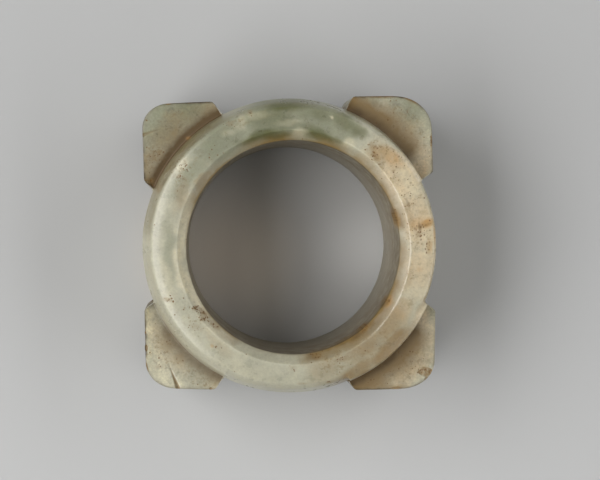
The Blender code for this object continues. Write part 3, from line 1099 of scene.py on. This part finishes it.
# x, y, length, width, turn, strength
STAINS: dict[Tint, tuple[tuple[float, ...], ...]] = {
    Tint.RUST: (
        (10.4, 9.25, 3.4, 1.9, -38, 0.5),
        (10.9, 8.95, 1.3, 0.7, -38, 0.75),
        (9.6, 9.85, 1.6, 1, -25, 0.45),
        (8.9, 9.6, 0.9, 2.2, 20, 0.35),
        (14.2, 2.4, 1.7, 1.1, 15, 1),
        (13.2, 2.3, 2.2, 1.5, 15, 0.45),
        (15, 1.3, 0.5, 2.6, 0, 0.5),
        (14.4, -0.1, 0.8, 1.6, 0, 0.5),
        (13.36, -2.5, 0.9, 0.6, 0, 0.3),
        (-10.65, 11.28, 0.6, 0.4, 0, 0.5),
        (-8.2, -10.3, 0.45, 0.45, 0, 0.5),
        (10.9, 2.9, 0.9, 2.2, 15, 0.5),
        (10.2, -5.8, 0.8, 1.6, -30, 0.5),
    ),
    Tint.HAZE: (
        (8.45, 10.3, 0.9, 1.2, 20, 0.55),
        (8.7, 9.4, 0.7, 1.6, 20, 0.6),
        (9.3, 8.3, 0.6, 1.2, 35, 0.4),
        (12.3, 4.25, 1.3, 0.4, 20, 0.45),
        (13.7, 2.05, 2.3, 0.5, 16, 0.6),
        (13.3, 1.3, 0.8, 1, -40, 0.45),
        (14.3, -0.2, 0.6, 1.6, 0, 0.4),
        (11, 2.8, 0.45, 1.8, 10, 0.8),
        (10.15, 4.4, 0.4, 0.7, 20, 0.7),
        (9.9, 5.6, 0.4, 2.4, 30, 0.35),
        (-9.95, -6.4, 0.7, 0.7, 0, 0.7),
        (-9.1, -6.9, 0.5, 1.8, 40, 0.7),
        (-9.1, -7.5, 1, 1, 0, 0.45),
        (-8, -8.2, 0.5, 1.8, 48, 0.6),
        (-10, -8.35, 1.3, 0.9, 0, 0.3),
        (-12.8, -5.55, 1.3, 0.5, -14, 0.55),
        (10.1, -5.8, 0.5, 1.5, -30, 0.85),
        (7.6, -8.7, 1.7, 0.6, 40, 0.85),
        (5.6, -9.75, 2.6, 0.6, 28, 0.5),
        (3.6, -10.5, 2.2, 0.7, 15, 0.4),
        (5.2, -11.8, 1.4, 0.6, 20, 0.45),
        (2.6, -11.4, 1.5, 1, 10, 0.55),
        (5.9, -13.6, 1.4, 1, 15, 0.45),
        (3.96, -14.18, 0.8, 0.4, 0, 0.5),
        (1.1, -14.3, 1.2, 0.3, 0, 0.5),
        (8, -10.6, 2.4, 1.4, 40, 0.35),
        (11.2, -9, 1.2, 1, 0, 0.3),
        (7.7, -13.2, 1.4, 0.5, 25, 0.4),
        (-6.35, 12.7, 1.1, 0.8, 0, 0.35),
        (-4.28, 13.8, 0.7, 0.7, 0, 0.4),
        (-11.7, 7.2, 0.7, 0.4, 60, 0.5),
        (-13.8, 5.9, 1.4, 0.8, 60, 0.35),
        (0.2, -12.6, 0.9, 0.9, 0, 0.25),
        (-14, 9.3, 1.8, 1.2, 20, 0.4),
        (-12.2, 11.7, 0.7, 0.5, 0, 0.35),
        (-14.5, 6.8, 0.8, 0.8, 0, 0.5),
        (12.9, 15.3, 2.6, 0.5, -24, 0.75),
        (9.4, 15.7, 4.4, 0.35, 0, 0.7),
        (6.3, 15, 1.6, 1.6, 0, 0.5),
        (14.95, 10.9, 0.4, 1.8, 0, 0.7),
        (-12.9, -10.6, 1.6, 1.4, -20, 0.35),
        (-11.7, -11.9, 1.2, 1.3, 0, 0.45),
        (-13.75, -12.68, 1.1, 0.5, 0, 0.35),
        (13.52, -10.46, 0.5, 0.5, 0, 0.4),
        (14.3, -13.35, 1.7, 1, -10, 0.55),
        (11.4, -14.9, 2.4, 0.5, 2, 0.5),
    ),
}


@dataclass(frozen=True)
class Belt:
    """Soiling, painted shade and a painted highlight that run round the ring. Each peak is an azimuth, its
    spread and its strength.
    """

    base: float
    peaks: tuple[Triple, ...] = ()

    def strength(self, places: Array) -> Array:
        """How strong the belt is at each place's azimuth.

        Args:
            places: Places in millimetres, one row each.

        Returns:
            The strength at each place.
        """
        turn = np.degrees(np.arctan2(places[:, 1], places[:, 0])) % 360.0
        strength = np.full(len(places), self.base)
        for azimuth, spread, most in self.peaks:
            off = np.abs((turn - azimuth + 180.0) % 360.0 - 180.0)
            strength = mix(most, strength, smoothstep(off, 0.3 * spread, 1.2 * spread))
        return strength


RIM_PEAKS = (
    (36, 26, 0.50), (70, 14, 0.90), (98, 12, 0.80), (142, 22, 0.85), (170, 12, 0.35),
    (196, 20, 0.05), (228, 14, 0.60), (300, 20, 0.90), (328, 12, 0.90),
)
LIP_PEAKS = (
    (292, 18, 0.60), (312, 16, 0.95), (336, 16, 0.90), (354, 10, 0.65), (14, 9, 0.95), (30, 12, 0.60),
    (48, 12, 0.60), (68, 14, 0.65), (102, 22, 0.60), (142, 18, 0.45), (160, 8, 0.30), (228, 14, 0.25),
)
# strength round the ring of the dirt and painted shade on the block tops next to the collar
SOIL_AND_SHADE_PEAKS = (
    (136, 26, 0.30), (228, 24, 0.28), (206, 9, 0.05), (248, 7, 0.20),
    (42, 8, 0.80), (30, 8, 0.10), (333, 9, 0.05),
)
# strength round the ring of the dirt and painted shade in the crease where the collar meets the blocks
HOLLOW_PEAKS = (
    (228, 30, 0.45), (206, 9, 0.20), (56, 10, 0.55), (44, 9, 0.25),
    (30, 9, 0.0), (322, 8, 0.65), (333, 8, 0.0),
)
EDGE_PEAKS = (
    (158, 8, 1.0), (146, 8, 0.8), (120, 12, 1.0), (58, 14, 1.0),
    (28, 8, 0.8), (212, 10, 1.0), (302, 12, 0.8),
)
BELTS = {
    "rim": Belt(0.20, RIM_PEAKS),
    # ridge: a painted highlight along the ridge, strongest on the right where the lamps' highlight falls; it
    # also lowers the roughness there
    "ridge": Belt(-0.9, ((10, 50, 0.30), (328, 34, 1.0), (352, 10, 0.60))),
    "lip": Belt(0.04, LIP_PEAKS),
    # painted shade on the collar's outer wall, where it turns down towards the blocks
    "flank": Belt(0.10, ((142, 30, 0.75), (165, 12, 0.55), (200, 26, 0.25), (306, 26, 0.55))),
    "soil": Belt(1.0, SOIL_AND_SHADE_PEAKS),
    "hollow": Belt(1.0, HOLLOW_PEAKS),
    "edge": Belt(0.50, EDGE_PEAKS),
}


@dataclass
class Weathering:
    """What the years have done to the stone: cuts and chips, worn swells, pits, stains and dirt, with painted
    shade and highlight.

    A pace says how many swells of noise there are to a millimetre, and a drift how far they move
    the edges of the stains or pits.
    """

    form: RingForm
    swell_height: float = 0.030
    swell_size: float = 4.2
    ripple_height: float = 0.010
    ripple_size: float = 1.1
    pit_depth: float = 0.032
    pit_radius: float = 0.075
    pits_each_square_mm: float = 1.6
    cut_margin: float = 0.12
    trail_margin: float = 0.20
    trail_lowest: float = 12.7
    pit_lowest: float = 12.5
    land: float = 0.05
    pit_pace: float = 6.0
    pit_drift: float = 0.07
    broad_pace: float = 0.40
    broad_drift: float = 0.70
    fine_pace: float = 1.7
    fine_drift: float = 0.22
    near_drift: float = 0.10
    seed: int = 11
    drift_seed: int = 4

    def __post_init__(self) -> None:
        """Fixes the noise that moves the stains, because its seed otherwise comes from the clock."""
        noise.seed_set(self.drift_seed)

    def carve(self, mesh: Mesh) -> None:
        """Cuts the strokes, the chips and the pits, and keeps their dirt on the mesh.

        Args:
            mesh: The swept form, which is changed.
        """
        cuts = (*GROOVES, *SCOOPS)
        chance = random.Random(self.seed)
        pits = [pit for trail in TRAILS for pit in trail.pits(chance)]
        tree = kdtree.KDTree(len(pits))
        for i, (x, y, _) in enumerate(pits):
            tree.insert((x, y, 0.0), i)
        tree.balance()

        def by_a_pit(places: Array) -> Array:
            """Which places lie by a pit of a trail."""
            gaps = [tree.find((x, y, 0.0))[2] for x, y in places[:, :2]]
            return (np.array(gaps) < self.trail_margin) & (places[:, 2] > self.trail_lowest)

        def by_a_cut(places: Array) -> Array:
            """Which places lie by a stroke, a chip or a nick."""
            return np.any([cut.near(places, self.cut_margin) for cut in cuts], axis=0)

        self._refine(mesh, by_a_cut, 2)
        self._refine(mesh, by_a_pit, 1)
        places = vertex_places(mesh)
        dirt = reduce(np.maximum, [cut.cut(places) for cut in cuts])
        gaps = np.full(len(places), np.inf)
        for index in np.flatnonzero(places[:, 2] > self.pit_lowest):
            ragged = noise.noise_vector(Vector(places[index]) * self.pit_pace) * self.pit_drift
            _, which, gap = tree.find((places[index, 0] + ragged.x, places[index, 1] + ragged.y, 0.0))
            gaps[index] = gap / pits[which][2]
        filled = fade(gaps, 0.5, 1.35)
        places[:, 2] -= self.pit_depth * filled
        write_vertices(mesh, places)
        keep(mesh, "cut", dirt)
        keep(mesh, "dot", filled)

    def stain(self, mesh: Mesh) -> None:
        """Writes the tints, the dirt and painted shade in the hollows, the painted highlight on the ridge and
        the line on the bore's rim.

        Args:
            mesh: The carved form, which gets the numbers.
        """
        places = vertex_places(mesh)
        broad = np.array([noise.noise_vector(Vector(row) * self.broad_pace) for row in places])
        fine = np.array([noise.noise_vector(Vector(row) * self.fine_pace) for row in places])
        moved = places + self.broad_drift * broad + self.fine_drift * fine
        near = places + self.near_drift * fine
        facing = smoothstep(places[:, 2], 11.6, 12.9)
        for tint in Tint:
            stains = [arc_stain(*row) for row in ARC_STAINS.get(tint, ())]
            stains += [Stain(*row) for row in STAINS.get(tint, ())]
            covers = [stain.cover(moved if tint.in_the_stone else near) for stain in stains]
            cover = reduce(np.maximum, covers)
            keep(mesh, tint.value, cover if tint.in_the_stone else cover * facing)
        for name, shape in self._belt_shapes(near).items():
            keep(mesh, name, shape * BELTS.get(name, Belt(1.0)).strength(moved))
        radius = self._from_bore(near)
        depth = np.minimum(near[:, 2], self.form.height - near[:, 2])
        wall = fade(radius, 11.0, 11.35) * smoothstep(depth, 0.5, 1.3)
        keep(mesh, "bore", wall)
        keep(mesh, "throat", wall * smoothstep(near[:, 2], 3.0, 14.0))

    def _belt_shapes(self, places: Array) -> dict[str, Array]:
        """Where each belt of soiling, painted shade and painted highlight lies across the section, from 0 to
        1.

        Args:
            places: Places in millimetres, one row each.

        Returns:
            One number per place for each belt, by its name.
        """
        form = self.form
        radius = np.hypot(places[:, 0], places[:, 1])
        past_foot = radius - form.foot_radius
        past_rim = self._from_bore(places) - form.rim_radius
        past_ridge = self._from_bore(places) - form.ridge_radius
        depth = form.height - places[:, 2]
        depth_here = np.minimum(depth, places[:, 2])
        from_shoulder = np.abs(depth_here - form.collar_height)
        open_top = fade(depth, 1.2, 2.4)
        room = self._room(places)
        block = smoothstep(room, 0.15, 0.9)
        past = np.clip(past_foot, 0.0, None)
        inward = np.clip(room - past_foot, 0.0, None)
        shelf = smoothstep(past_foot, -0.30, 0.05) * fade(from_shoulder, 0.25, 0.85)
        wall = np.exp(-from_shoulder / 0.45) * smoothstep(radius, 14.2, 15.0) * fade(past_foot, -0.05, 0.20)
        # the collar's outer wall, which takes painted shade
        flank = smoothstep(radius, 14.2, 14.6) * fade(past_foot, 0.0, 0.3)
        # the block ends by the channels: partly brown stain, partly painted shade where the end walls face
        # away from the light
        end = smoothstep(room, 0.02, 0.15) * fade(room, 0.5, 2.0) * smoothstep(depth, 2.9, 3.4)
        return {
            "rim": fade(np.abs(past_rim - 0.05), 0.04, 0.26) * open_top,
            # the ridge line, which carries a painted highlight
            "ridge": np.exp(-((past_ridge / 0.11) ** 2)) * open_top,
            "lip": smoothstep(past_rim, -0.30, 0.0) * fade(past_rim, 0.15, 1.15) * open_top,
            "flank": flank * smoothstep(depth_here, 0.42, 0.85),
            # dirt and painted shade spreading out from the collar's foot over the block tops
            "soil": np.maximum(shelf * fade(past, 0.7, 3.0), 0.7 * wall) * block,
            "edge": np.exp(-((inward / 0.23) ** 2)) * block * fade(from_shoulder, 0.30, 0.95),
            "shoulder": smoothstep(past_foot, 0.0, 0.4) * block,
            "end": end * smoothstep(past_foot, -0.02, 0.10),
            # dirt and painted shade, darkest in the crease where the collar meets the blocks
            "hollow": np.maximum(shelf * fade(past, 0.2, 1.35), wall) * block,
        }

    def _from_bore(self, places: Array) -> Array:
        """How far each place is from the axis of the bore."""
        return np.hypot(places[:, 0] - self.form.bore_shift[0], places[:, 1] - self.form.bore_shift[1])

    def _room(self, places: Array) -> Array:
        """How far a block reaches past the tube at each place's azimuth.

        Args:
            places: Places in millimetres, one row each.

        Returns:
            The reach at each place, below nought where a channel is.
        """
        plan = self.form.plan()
        turns = np.arctan2(plan[:, 1], plan[:, 0])
        order = np.argsort(turns)
        reach = np.linalg.norm(plan, axis=1)[order] - self.form.foot_radius
        return np.interp(np.arctan2(places[:, 1], places[:, 0]), turns[order], reach, period=math.tau)

    def _refine(self, mesh: Mesh, wanted: Callable[[Array], Array], cuts: int) -> None:
        """Divides the faces whose middles are wanted.

        Args:
            mesh: The mesh, which is changed.
            wanted: Tells which faces to divide, from their middles in millimetres.
            cuts: How often each of their edges is cut.
        """
        bm = bmesh.new()
        bm.from_mesh(mesh)
        middles = np.array([face.calc_center_median() for face in bm.faces]) / MM
        picked = [face for face, is_wanted in zip(bm.faces, wanted(middles)) if is_wanted]
        edges = list(dict.fromkeys(edge for face in picked for edge in face.edges))
        bmesh.ops.subdivide_edges(bm, edges=edges, cuts=cuts, use_grid_fill=True)
        bm.to_mesh(mesh)
        bm.free()

    def tree(self, material: bpy.types.Material) -> FormTree:
        """The tree that makes the worn swells and the scattered pits.

        Args:
            material: The finish that the mesh carries.

        Returns:
            The tree, to be run on the carved ring.
        """
        tree = FormTree("weathering")
        swell_height = tree.asks("Swell height", "Float", 2.0 * self.swell_height * MM)
        swell_scale = tree.asks("Swells to a metre", "Float", 1.0 / (self.swell_size * MM))
        ripple_height = tree.asks("Ripple height", "Float", 2.0 * self.ripple_height * MM)
        ripple_scale = tree.asks("Ripples to a metre", "Float", 1.0 / (self.ripple_size * MM))
        depth = tree.asks("Pit depth", "Float", self.pit_depth * MM)
        radius = tree.asks("Pit radius", "Float", self.pit_radius * MM)
        density = tree.asks("Pits to a square metre", "Float", self.pits_each_square_mm / MM**2)
        seed = tree.asks("Seed", "Int", self.seed)
        land = tree.asks("Land", "Float", self.land * MM)
        dress = tree.asks("Material", "Material", material)

        thick = tree.named(Tint.SPECKS.value) * density
        inputs = {"Mesh": tree.inlet(), "Density": thick, "Seed": seed}
        points = tree.add("GeometryNodeDistributePointsOnFaces", "Points", inputs, distribute_method="RANDOM")
        sizes = tree.add("FunctionNodeRandomValue", 1, {2: 0.45, 3: 1.0, "Seed": seed}, data_type="FLOAT")
        nearest = tree.add("GeometryNodeSampleNearest", "Index", {"Geometry": points}, domain="POINT")
        inputs = {"Geometry": points, "Value": sizes, "Index": nearest}
        size = tree.add("GeometryNodeSampleIndex", "Value", inputs, data_type="FLOAT", domain="POINT")
        gap = tree.add("GeometryNodeProximity", "Distance", {0: points}, target_element="POINTS")
        pit = tree.rise(gap / (size * radius), 0.25, 1.0, 1.0, 0.0) * size
        marked = tree.store(tree.inlet(), "pit", pit)

        place = tree.add("GeometryNodeInputPosition", 0, {})
        off_the_land = tree.rise(tree.split(place)[2], land, land * 4.0)
        swell = (tree.noise(place, swell_scale, 1.0) - 0.85) * swell_height
        ripple = (tree.noise(place, ripple_scale, 2.0) - 0.5) * ripple_height
        height = (ripple + swell) * off_the_land - tree.named("pit") * depth
        outward = tree.add("GeometryNodeInputNormal", 0, {})
        offset = tree.vector("SCALE", {0: outward, "Scale": height})
        tree.finish(tree.add("GeometryNodeSetPosition", 0, {"Geometry": marked, "Offset": offset}), dress)
        return tree

    def wear(self, ring: Thing) -> None:
        """Runs the tree on the ring and takes its result as the ring's mesh.

        Args:
            ring: The carved ring, whose mesh is replaced.
        """
        old = ring.data
        ring.data = self.tree(old.materials[0]).run(ring)
        ring.data.name = old.name
        bpy.data.meshes.remove(old)


def srgb(red: int, green: int, blue: int) -> tuple[float, float, float, float]:
    """A colour chosen as it looks on a screen, as the light it gives back.

    Args:
        red: From 0 to 255.
        green: The same.
        blue: The same.

    Returns:
        Red, green, blue and a full alpha.
    """
    levels = [level / 255.0 for level in (red, green, blue)]
    linear = [v / 12.92 if v <= 0.04045 else ((v + 0.055) / 1.055) ** 2.4 for v in levels]
    return (*linear, 1.0)


@dataclass(frozen=True)
class Coat:
    """A colour that lies where one of the ring's numbers says so.

    Its edge is broken up by a texture, by so much, and it covers wholly where the number is full.
    """

    name: str
    shade: Shade
    most: float = 1.0
    ragged: float = 0.6
    full: float = 1.0
    texture: str = "felt"


class Paint(Graph):
    """A material's tree: the textures that break the colours up, and the colour as laid on so far."""

    def __init__(self, tree: bpy.types.NodeTree, ground: Shade) -> None:
        """Starts from a plain colour."""
        super().__init__(tree)
        self.place = self.add("ShaderNodeTexCoord", "Object", {})
        self.textures = {
            "clouds": self.noise(self.place, 210.0, 3.0),
            "felt": self.noise(self.place, 850.0, 4.0, 0.60),
            "grain": self.noise(self.place, 4200.0, 3.0, 0.6),
        }
        self.colour: Any = srgb(*ground)

    def mask(self, name: str) -> Wire:
        """Reads one of the ring's own numbers."""
        return self.add("ShaderNodeAttribute", "Fac", {}, attribute_type="GEOMETRY", attribute_name=name)

    def cover(self, share: Wire, shade: Shade) -> None:
        """Lays a colour over the rest by a share."""
        self.colour = self.blend(share, self.colour, srgb(*shade))

    def lay(self, coat: Coat) -> Wire:
        """Lays a coat on.

        Args:
            coat: The coat.

        Returns:
            How wholly it covers, from 0 to 1, before its strength is counted.
        """
        shaken = (self.textures[coat.texture] - 0.5) * (2.0 * coat.ragged) + 1.0
        share = (self.mask(coat.name) * shaken / coat.full).clamped()
        self.cover(share * coat.most, coat.shade)
        return share


@dataclass(frozen=True)
class Nephrite:
    """The finish: pale mottled jade with soaked-in stains and painted shade, under a worn waxy polish with a
    painted highlight.
    """

    ground: Shade = (190, 188, 168)
    tints: tuple[Coat, ...] = (
        Coat("cream", (216, 200, 169), 1.0, 0.30),
        Coat("celadon", (148, 150, 127), 1.0, 0.30),
        Coat("tan", (148, 122, 80), 0.9, 0.30),
        Coat("pale", (222, 215, 188), 1.0, 0.30),
        Coat("olive", (96, 99, 58), 1.0, 0.30),
    )
    soils: tuple[Coat, ...] = (
        Coat("lip", (130, 103, 46)),
        Coat("bore", (138, 130, 114), 0.95),
        Coat("throat", (110, 99, 78), 0.95),
        # dirt and painted shade on the block tops, darker towards the collar
        Coat("soil", (142, 120, 82), full=0.8),
        # painted shade on the collar's outer wall, in a brownish tone
        Coat("flank", (110, 97, 60)),
        # the block ends by the channels: brown stain and painted shade
        Coat("end", (92, 76, 42)),
        # dirt and painted shade in the crease at the collar's foot
        Coat("hollow", (96, 75, 41), full=0.8),
        Coat("edge", (60, 48, 22)),
        Coat("rim", (128, 102, 44), 0.9),
        Coat("rust", (194, 148, 78), 0.75, 0.9),
        Coat("brown", (92, 70, 34), 0.8, 1.2),
        Coat("haze", (136, 106, 52), 0.75, 1.5, texture="grain"),
        Coat("cut", (134, 108, 62), 0.8, 0.9, 0.8, texture="grain"),
    )
    vein: Shade = (160, 140, 98)
    # worn: the whitish colour of the painted highlight laid along the ridge
    worn: Shade = (232, 230, 220)
    freckle: Shade = (132, 106, 58)
    speck: Shade = (112, 78, 22)
    roughness: float = 0.29
    refraction: float = 1.61
    gloss: float = 0.50
    glow: float = 0.85
    glow_reach: float = 0.0012
    vein_scale: float = 620.0
    fleck_scale: float = 1300.0
    spot_scale: float = 2500.0
    speck_scale: float = 3400.0
    tooth_depth: float = 0.000012

    def material(self) -> bpy.types.Material:
        """Builds the finish as a material.

        Returns:
            The material.
        """
        material = bpy.data.materials.new("worn_nephrite")
        material.use_nodes = True
        paint = Paint(material.node_tree, self.ground)
        place, mask = paint.place, paint.mask
        felt, grain = paint.textures["felt"], paint.textures["grain"]
        for coat in self.tints:
            paint.lay(coat)
        veins = paint.rise(paint.noise(place, self.vein_scale, 4.0, 0.65), 0.52, 0.74, 0.0, 0.42)
        warm = (mask("cream") + mask("tan")).clamped()
        paint.cover(veins * (warm * 0.8 + 0.2), self.vein)
        self._mottle(paint)
        # a painted highlight: whitish colour laid along the ridge, broken up by flecks
        flecks = paint.rise(paint.noise(place, self.fleck_scale, 2.0), 0.40, 0.58, 0.15, 1.0)
        ridge = mask("ridge") * flecks
        paint.cover(paint.most(ridge, 0.0) * 0.30, self.worn)
        laid = {coat.name: paint.lay(coat) for coat in self.soils}
        spots = paint.rise(paint.noise(place, self.spot_scale, 3.0, 0.65), 0.50, 0.72)
        paint.cover(spots * (mask("specks") * 0.75 + 0.06), self.freckle)
        specks = self._specks(paint)
        pits = (grain - 0.5) * 1.4 + paint.most(mask("pit"), mask("dot"))
        dark = paint.most(specks, paint.rise(pits, 0.35, 0.95) * 0.9)
        paint.cover(dark, self.speck)

        # the hollow and end lines are partly painted shade; here they make the stone rougher and less
        # translucent
        lines = [mask(name) for name in ("hollow", "edge", "end", "rim")]
        dirt = paint.most(laid["haze"], laid["cut"], dark, *lines).clamped()
        veil = paint.most(dirt, mask("soil") * 0.7).clamped()
        rough = felt * 0.14 + (self.roughness - 0.07)
        rough = mask("bore") * 0.22 + rough - ridge * 0.18 + mask("lip") * 0.20 + dirt * 0.28
        finish = {
            "Base Color": paint.colour,
            "Roughness": rough,
            "IOR": self.refraction,
            "Specular IOR Level": self.gloss,
            "Normal": self._tooth(paint, specks),
            "Subsurface Weight": veil * (-0.85 * self.glow) + self.glow,
            "Subsurface Radius": (1.0, 0.98, 0.88),
            "Subsurface Scale": self.glow_reach,
        }
        paint.feed(material.node_tree.nodes["Principled BSDF"], finish)
        return material

    def _mottle(self, paint: Paint) -> None:
        """Lays on the felted clouding of nephrite, lighter and darker about the colour.

        Args:
            paint: The material's tree, whose colour is changed.
        """
        worn = paint.mask("shoulder")
        tone: Any = 1.0
        for name, depth in (("clouds", 0.28), ("felt", worn * 0.40 + 0.40), ("grain", worn * 0.45 + 0.40)):
            tone = (paint.textures[name] - 0.5) * depth + tone
        paint.colour = paint.vector("SCALE", {0: paint.colour, "Scale": tone})

    def _specks(self, paint: Paint) -> Wire:
        """Small dark dots, thick where the ring says so and scarce elsewhere.

        Args:
            paint: The material's tree.

        Returns:
            How dark the dots are.
        """
        inputs = {"Vector": paint.place, "Scale": self.speck_scale}
        cells = paint.add("ShaderNodeTexVoronoi", "Color", inputs, feature="F1")
        pick, width, _ = paint.split(cells)
        chosen = paint.math("LESS_THAN", pick, paint.mask("specks") * 0.34 + 0.012)
        dot = paint.rise(cells.beside("Distance") / (width * 0.20 + 0.14), 0.6, 1.2, 1.0, 0.0)
        return dot * chosen * 0.8

    def _tooth(self, paint: Paint, specks: Wire) -> Wire:
        """The fine tooth of the worn polish and the pores under the dots."""
        height = specks * -0.9 + (paint.textures["felt"] * 0.6 + paint.textures["grain"])
        inputs = {"Strength": 0.30, "Distance": self.tooth_depth, "Height": height}
        return paint.add("ShaderNodeBump", "Normal", inputs)


@dataclass(frozen=True)
class SoftLight:
    """A soft box: the way to it in degrees, its distance and size in metres, and its power in watts."""

    azimuth: float
    elevation: float
    distance: float
    size: Pair
    power: float
    colour: Triple

    def place(self, name: str) -> None:
        """Sets the light up, facing the ring with its long side level.

        Args:
            name: The light's name.
        """
        azimuth, elevation = math.radians(self.azimuth), math.radians(self.elevation)
        level = math.cos(elevation)
        toward = Vector((math.cos(azimuth) * level, math.sin(azimuth) * level, math.sin(elevation)))
        data = bpy.data.lights.new(name, "AREA")
        data.shape = "RECTANGLE"
        data.size, data.size_y = self.size
        data.energy = self.power
        data.color = self.colour
        aim(shown(name, data), toward * self.distance, Vector(), Vector((0.0, 0.0, 1.0)))


class SoftBox(Enum):
    """The studio's lights."""

    LEFT_BOX = SoftLight(184.0, 43.5, 0.62, (0.92, 0.40), 4.70, (1.0, 0.99, 0.975))
    RIGHT_BOX = SoftLight(4.0, 39.0, 0.62, (1.15, 0.28), 2.35, (1.0, 0.995, 0.98))
    TOP_BOX = SoftLight(90.0, 88.0, 1.4, (0.9, 0.9), 1.05, (1.0, 1.0, 1.0))


@dataclass(frozen=True)
class PaintedLightPool:
    """Painted light on the floor inside the bore: its middle, its half length and half width, and its gain.
    """

    place: Pair
    reach: Pair
    gain: Triple


@dataclass(frozen=True)
class Studio:
    """Floor, lights and camera. Distances are in metres."""

    floor_size: float = 1.6
    floor_tone: float = 0.53
    floor_gain: Pair = (1.10, 1.0)
    floor_fade: Pair = (-0.028, 0.024)
    # patches of painted light on the floor inside the bore, lightening its shaded floor
    painted_light_pools: tuple[PaintedLightPool, ...] = (
        PaintedLightPool((-0.0070, -0.0012), (0.0125, 0.0125), (1.30, 1.18, 1.04)),
        PaintedLightPool((-0.0019, -0.0030), (0.0046, 0.0110), (1.38, 1.38, 1.38)),
        PaintedLightPool((0.0095, -0.0005), (0.0090, 0.0065), (1.20, 1.20, 1.20)),
    )
    fill_tone: float = 0.035
    camera_place: Triple = (-0.0107, 0.0033, 0.206)
    camera_target: Triple = (0.00088, 0.00062, 0.016)
    lens: float = 110.3
    sensor: float = 36.0

    def floor(self) -> None:
        """A pale sheet under the ring, which runs on past the frame, with painted light inside the bore and
        lighter towards the foot of the picture.
        """
        half = self.floor_size / 2
        mesh = bpy.data.meshes.new("floor")
        corners = [(-half, -half, 0.0), (half, -half, 0.0), (half, half, 0.0), (-half, half, 0.0)]
        mesh.from_pydata(corners, [], [(0, 1, 2, 3)])
        material = bpy.data.materials.new("pale_paper")
        material.use_nodes = True
        graph = Graph(material.node_tree)
        place = graph.add("ShaderNodeTexCoord", "Object", {})
        paper: Any = (self.floor_tone * 0.99, self.floor_tone, self.floor_tone * 1.005)
        for light_pool in self.painted_light_pools:
            off = graph.vector("SUBTRACT", {0: place, 1: (*light_pool.place, 0.0)})
            measured = graph.vector("DIVIDE", {0: off, 1: (*light_pool.reach, 1.0)})
            share = graph.rise(graph.vector("LENGTH", {0: measured}, "Value"), 0.0, 1.0, 1.0, 0.0)
            gain = graph.blend(share, (1.0, 1.0, 1.0, 1.0), (*light_pool.gain, 1.0))
            paper = graph.vector("MULTIPLY", {0: paper, 1: gain})
        fading = graph.rise(graph.split(place)[1], *self.floor_fade, *self.floor_gain)
        lit = graph.vector("SCALE", {0: paper, "Scale": fading})
        finish = {"Base Color": lit, "Roughness": 0.9, "Specular IOR Level": 0.1}
        graph.feed(material.node_tree.nodes["Principled BSDF"], finish)
        mesh.materials.append(material)
        shown("floor", mesh)

    def lights(self) -> None:
        """A broad soft box low on the left, weaker ones on the right and overhead, and a trace all round."""
        for box in SoftBox:
            box.value.place(box.name.lower())
        world = bpy.data.worlds.new("studio_fill")
        world.use_nodes = True
        background = world.node_tree.nodes["Background"]
        background.inputs["Color"].default_value = (0.96, 0.98, 1.0, 1.0)
        background.inputs["Strength"].default_value = self.fill_tone
        bpy.context.scene.world = world

    def camera(self) -> None:
        """The photograph's view: nearly straight down, from a little to the left."""
        data = bpy.data.cameras.new("camera")
        data.lens = self.lens
        data.sensor_width = self.sensor
        data.clip_start, data.clip_end = 0.01, 10.0
        data.dof.use_dof = False
        view = shown("camera", data)
        aim(view, Vector(self.camera_place), Vector(self.camera_target), Vector((0.0, 1.0, 0.0)))
        bpy.context.scene.camera = view


def main() -> None:
    """Builds the ring, dresses it and sets up the studio."""
    logging.basicConfig(level=logging.INFO, format="%(name)s: %(message)s")
    bpy.context.scene.view_settings.view_transform = "Standard"
    form = RingForm()
    ring = form.build(Nephrite().material())
    weathering = Weathering(form)
    weathering.carve(ring.data)
    weathering.stain(ring.data)
    weathering.wear(ring)
    ring.data.shade_smooth()
    ring.data.set_sharp_from_angle(angle=math.radians(SHARP_DEGREES))
    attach(ring, BODY)
    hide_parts(NODE)
    studio = Studio()
    studio.floor()
    studio.lights()
    studio.camera()
    log.info("ring: %d faces", len(ring.data.polygons))


if __name__ == "__main__":
    main()
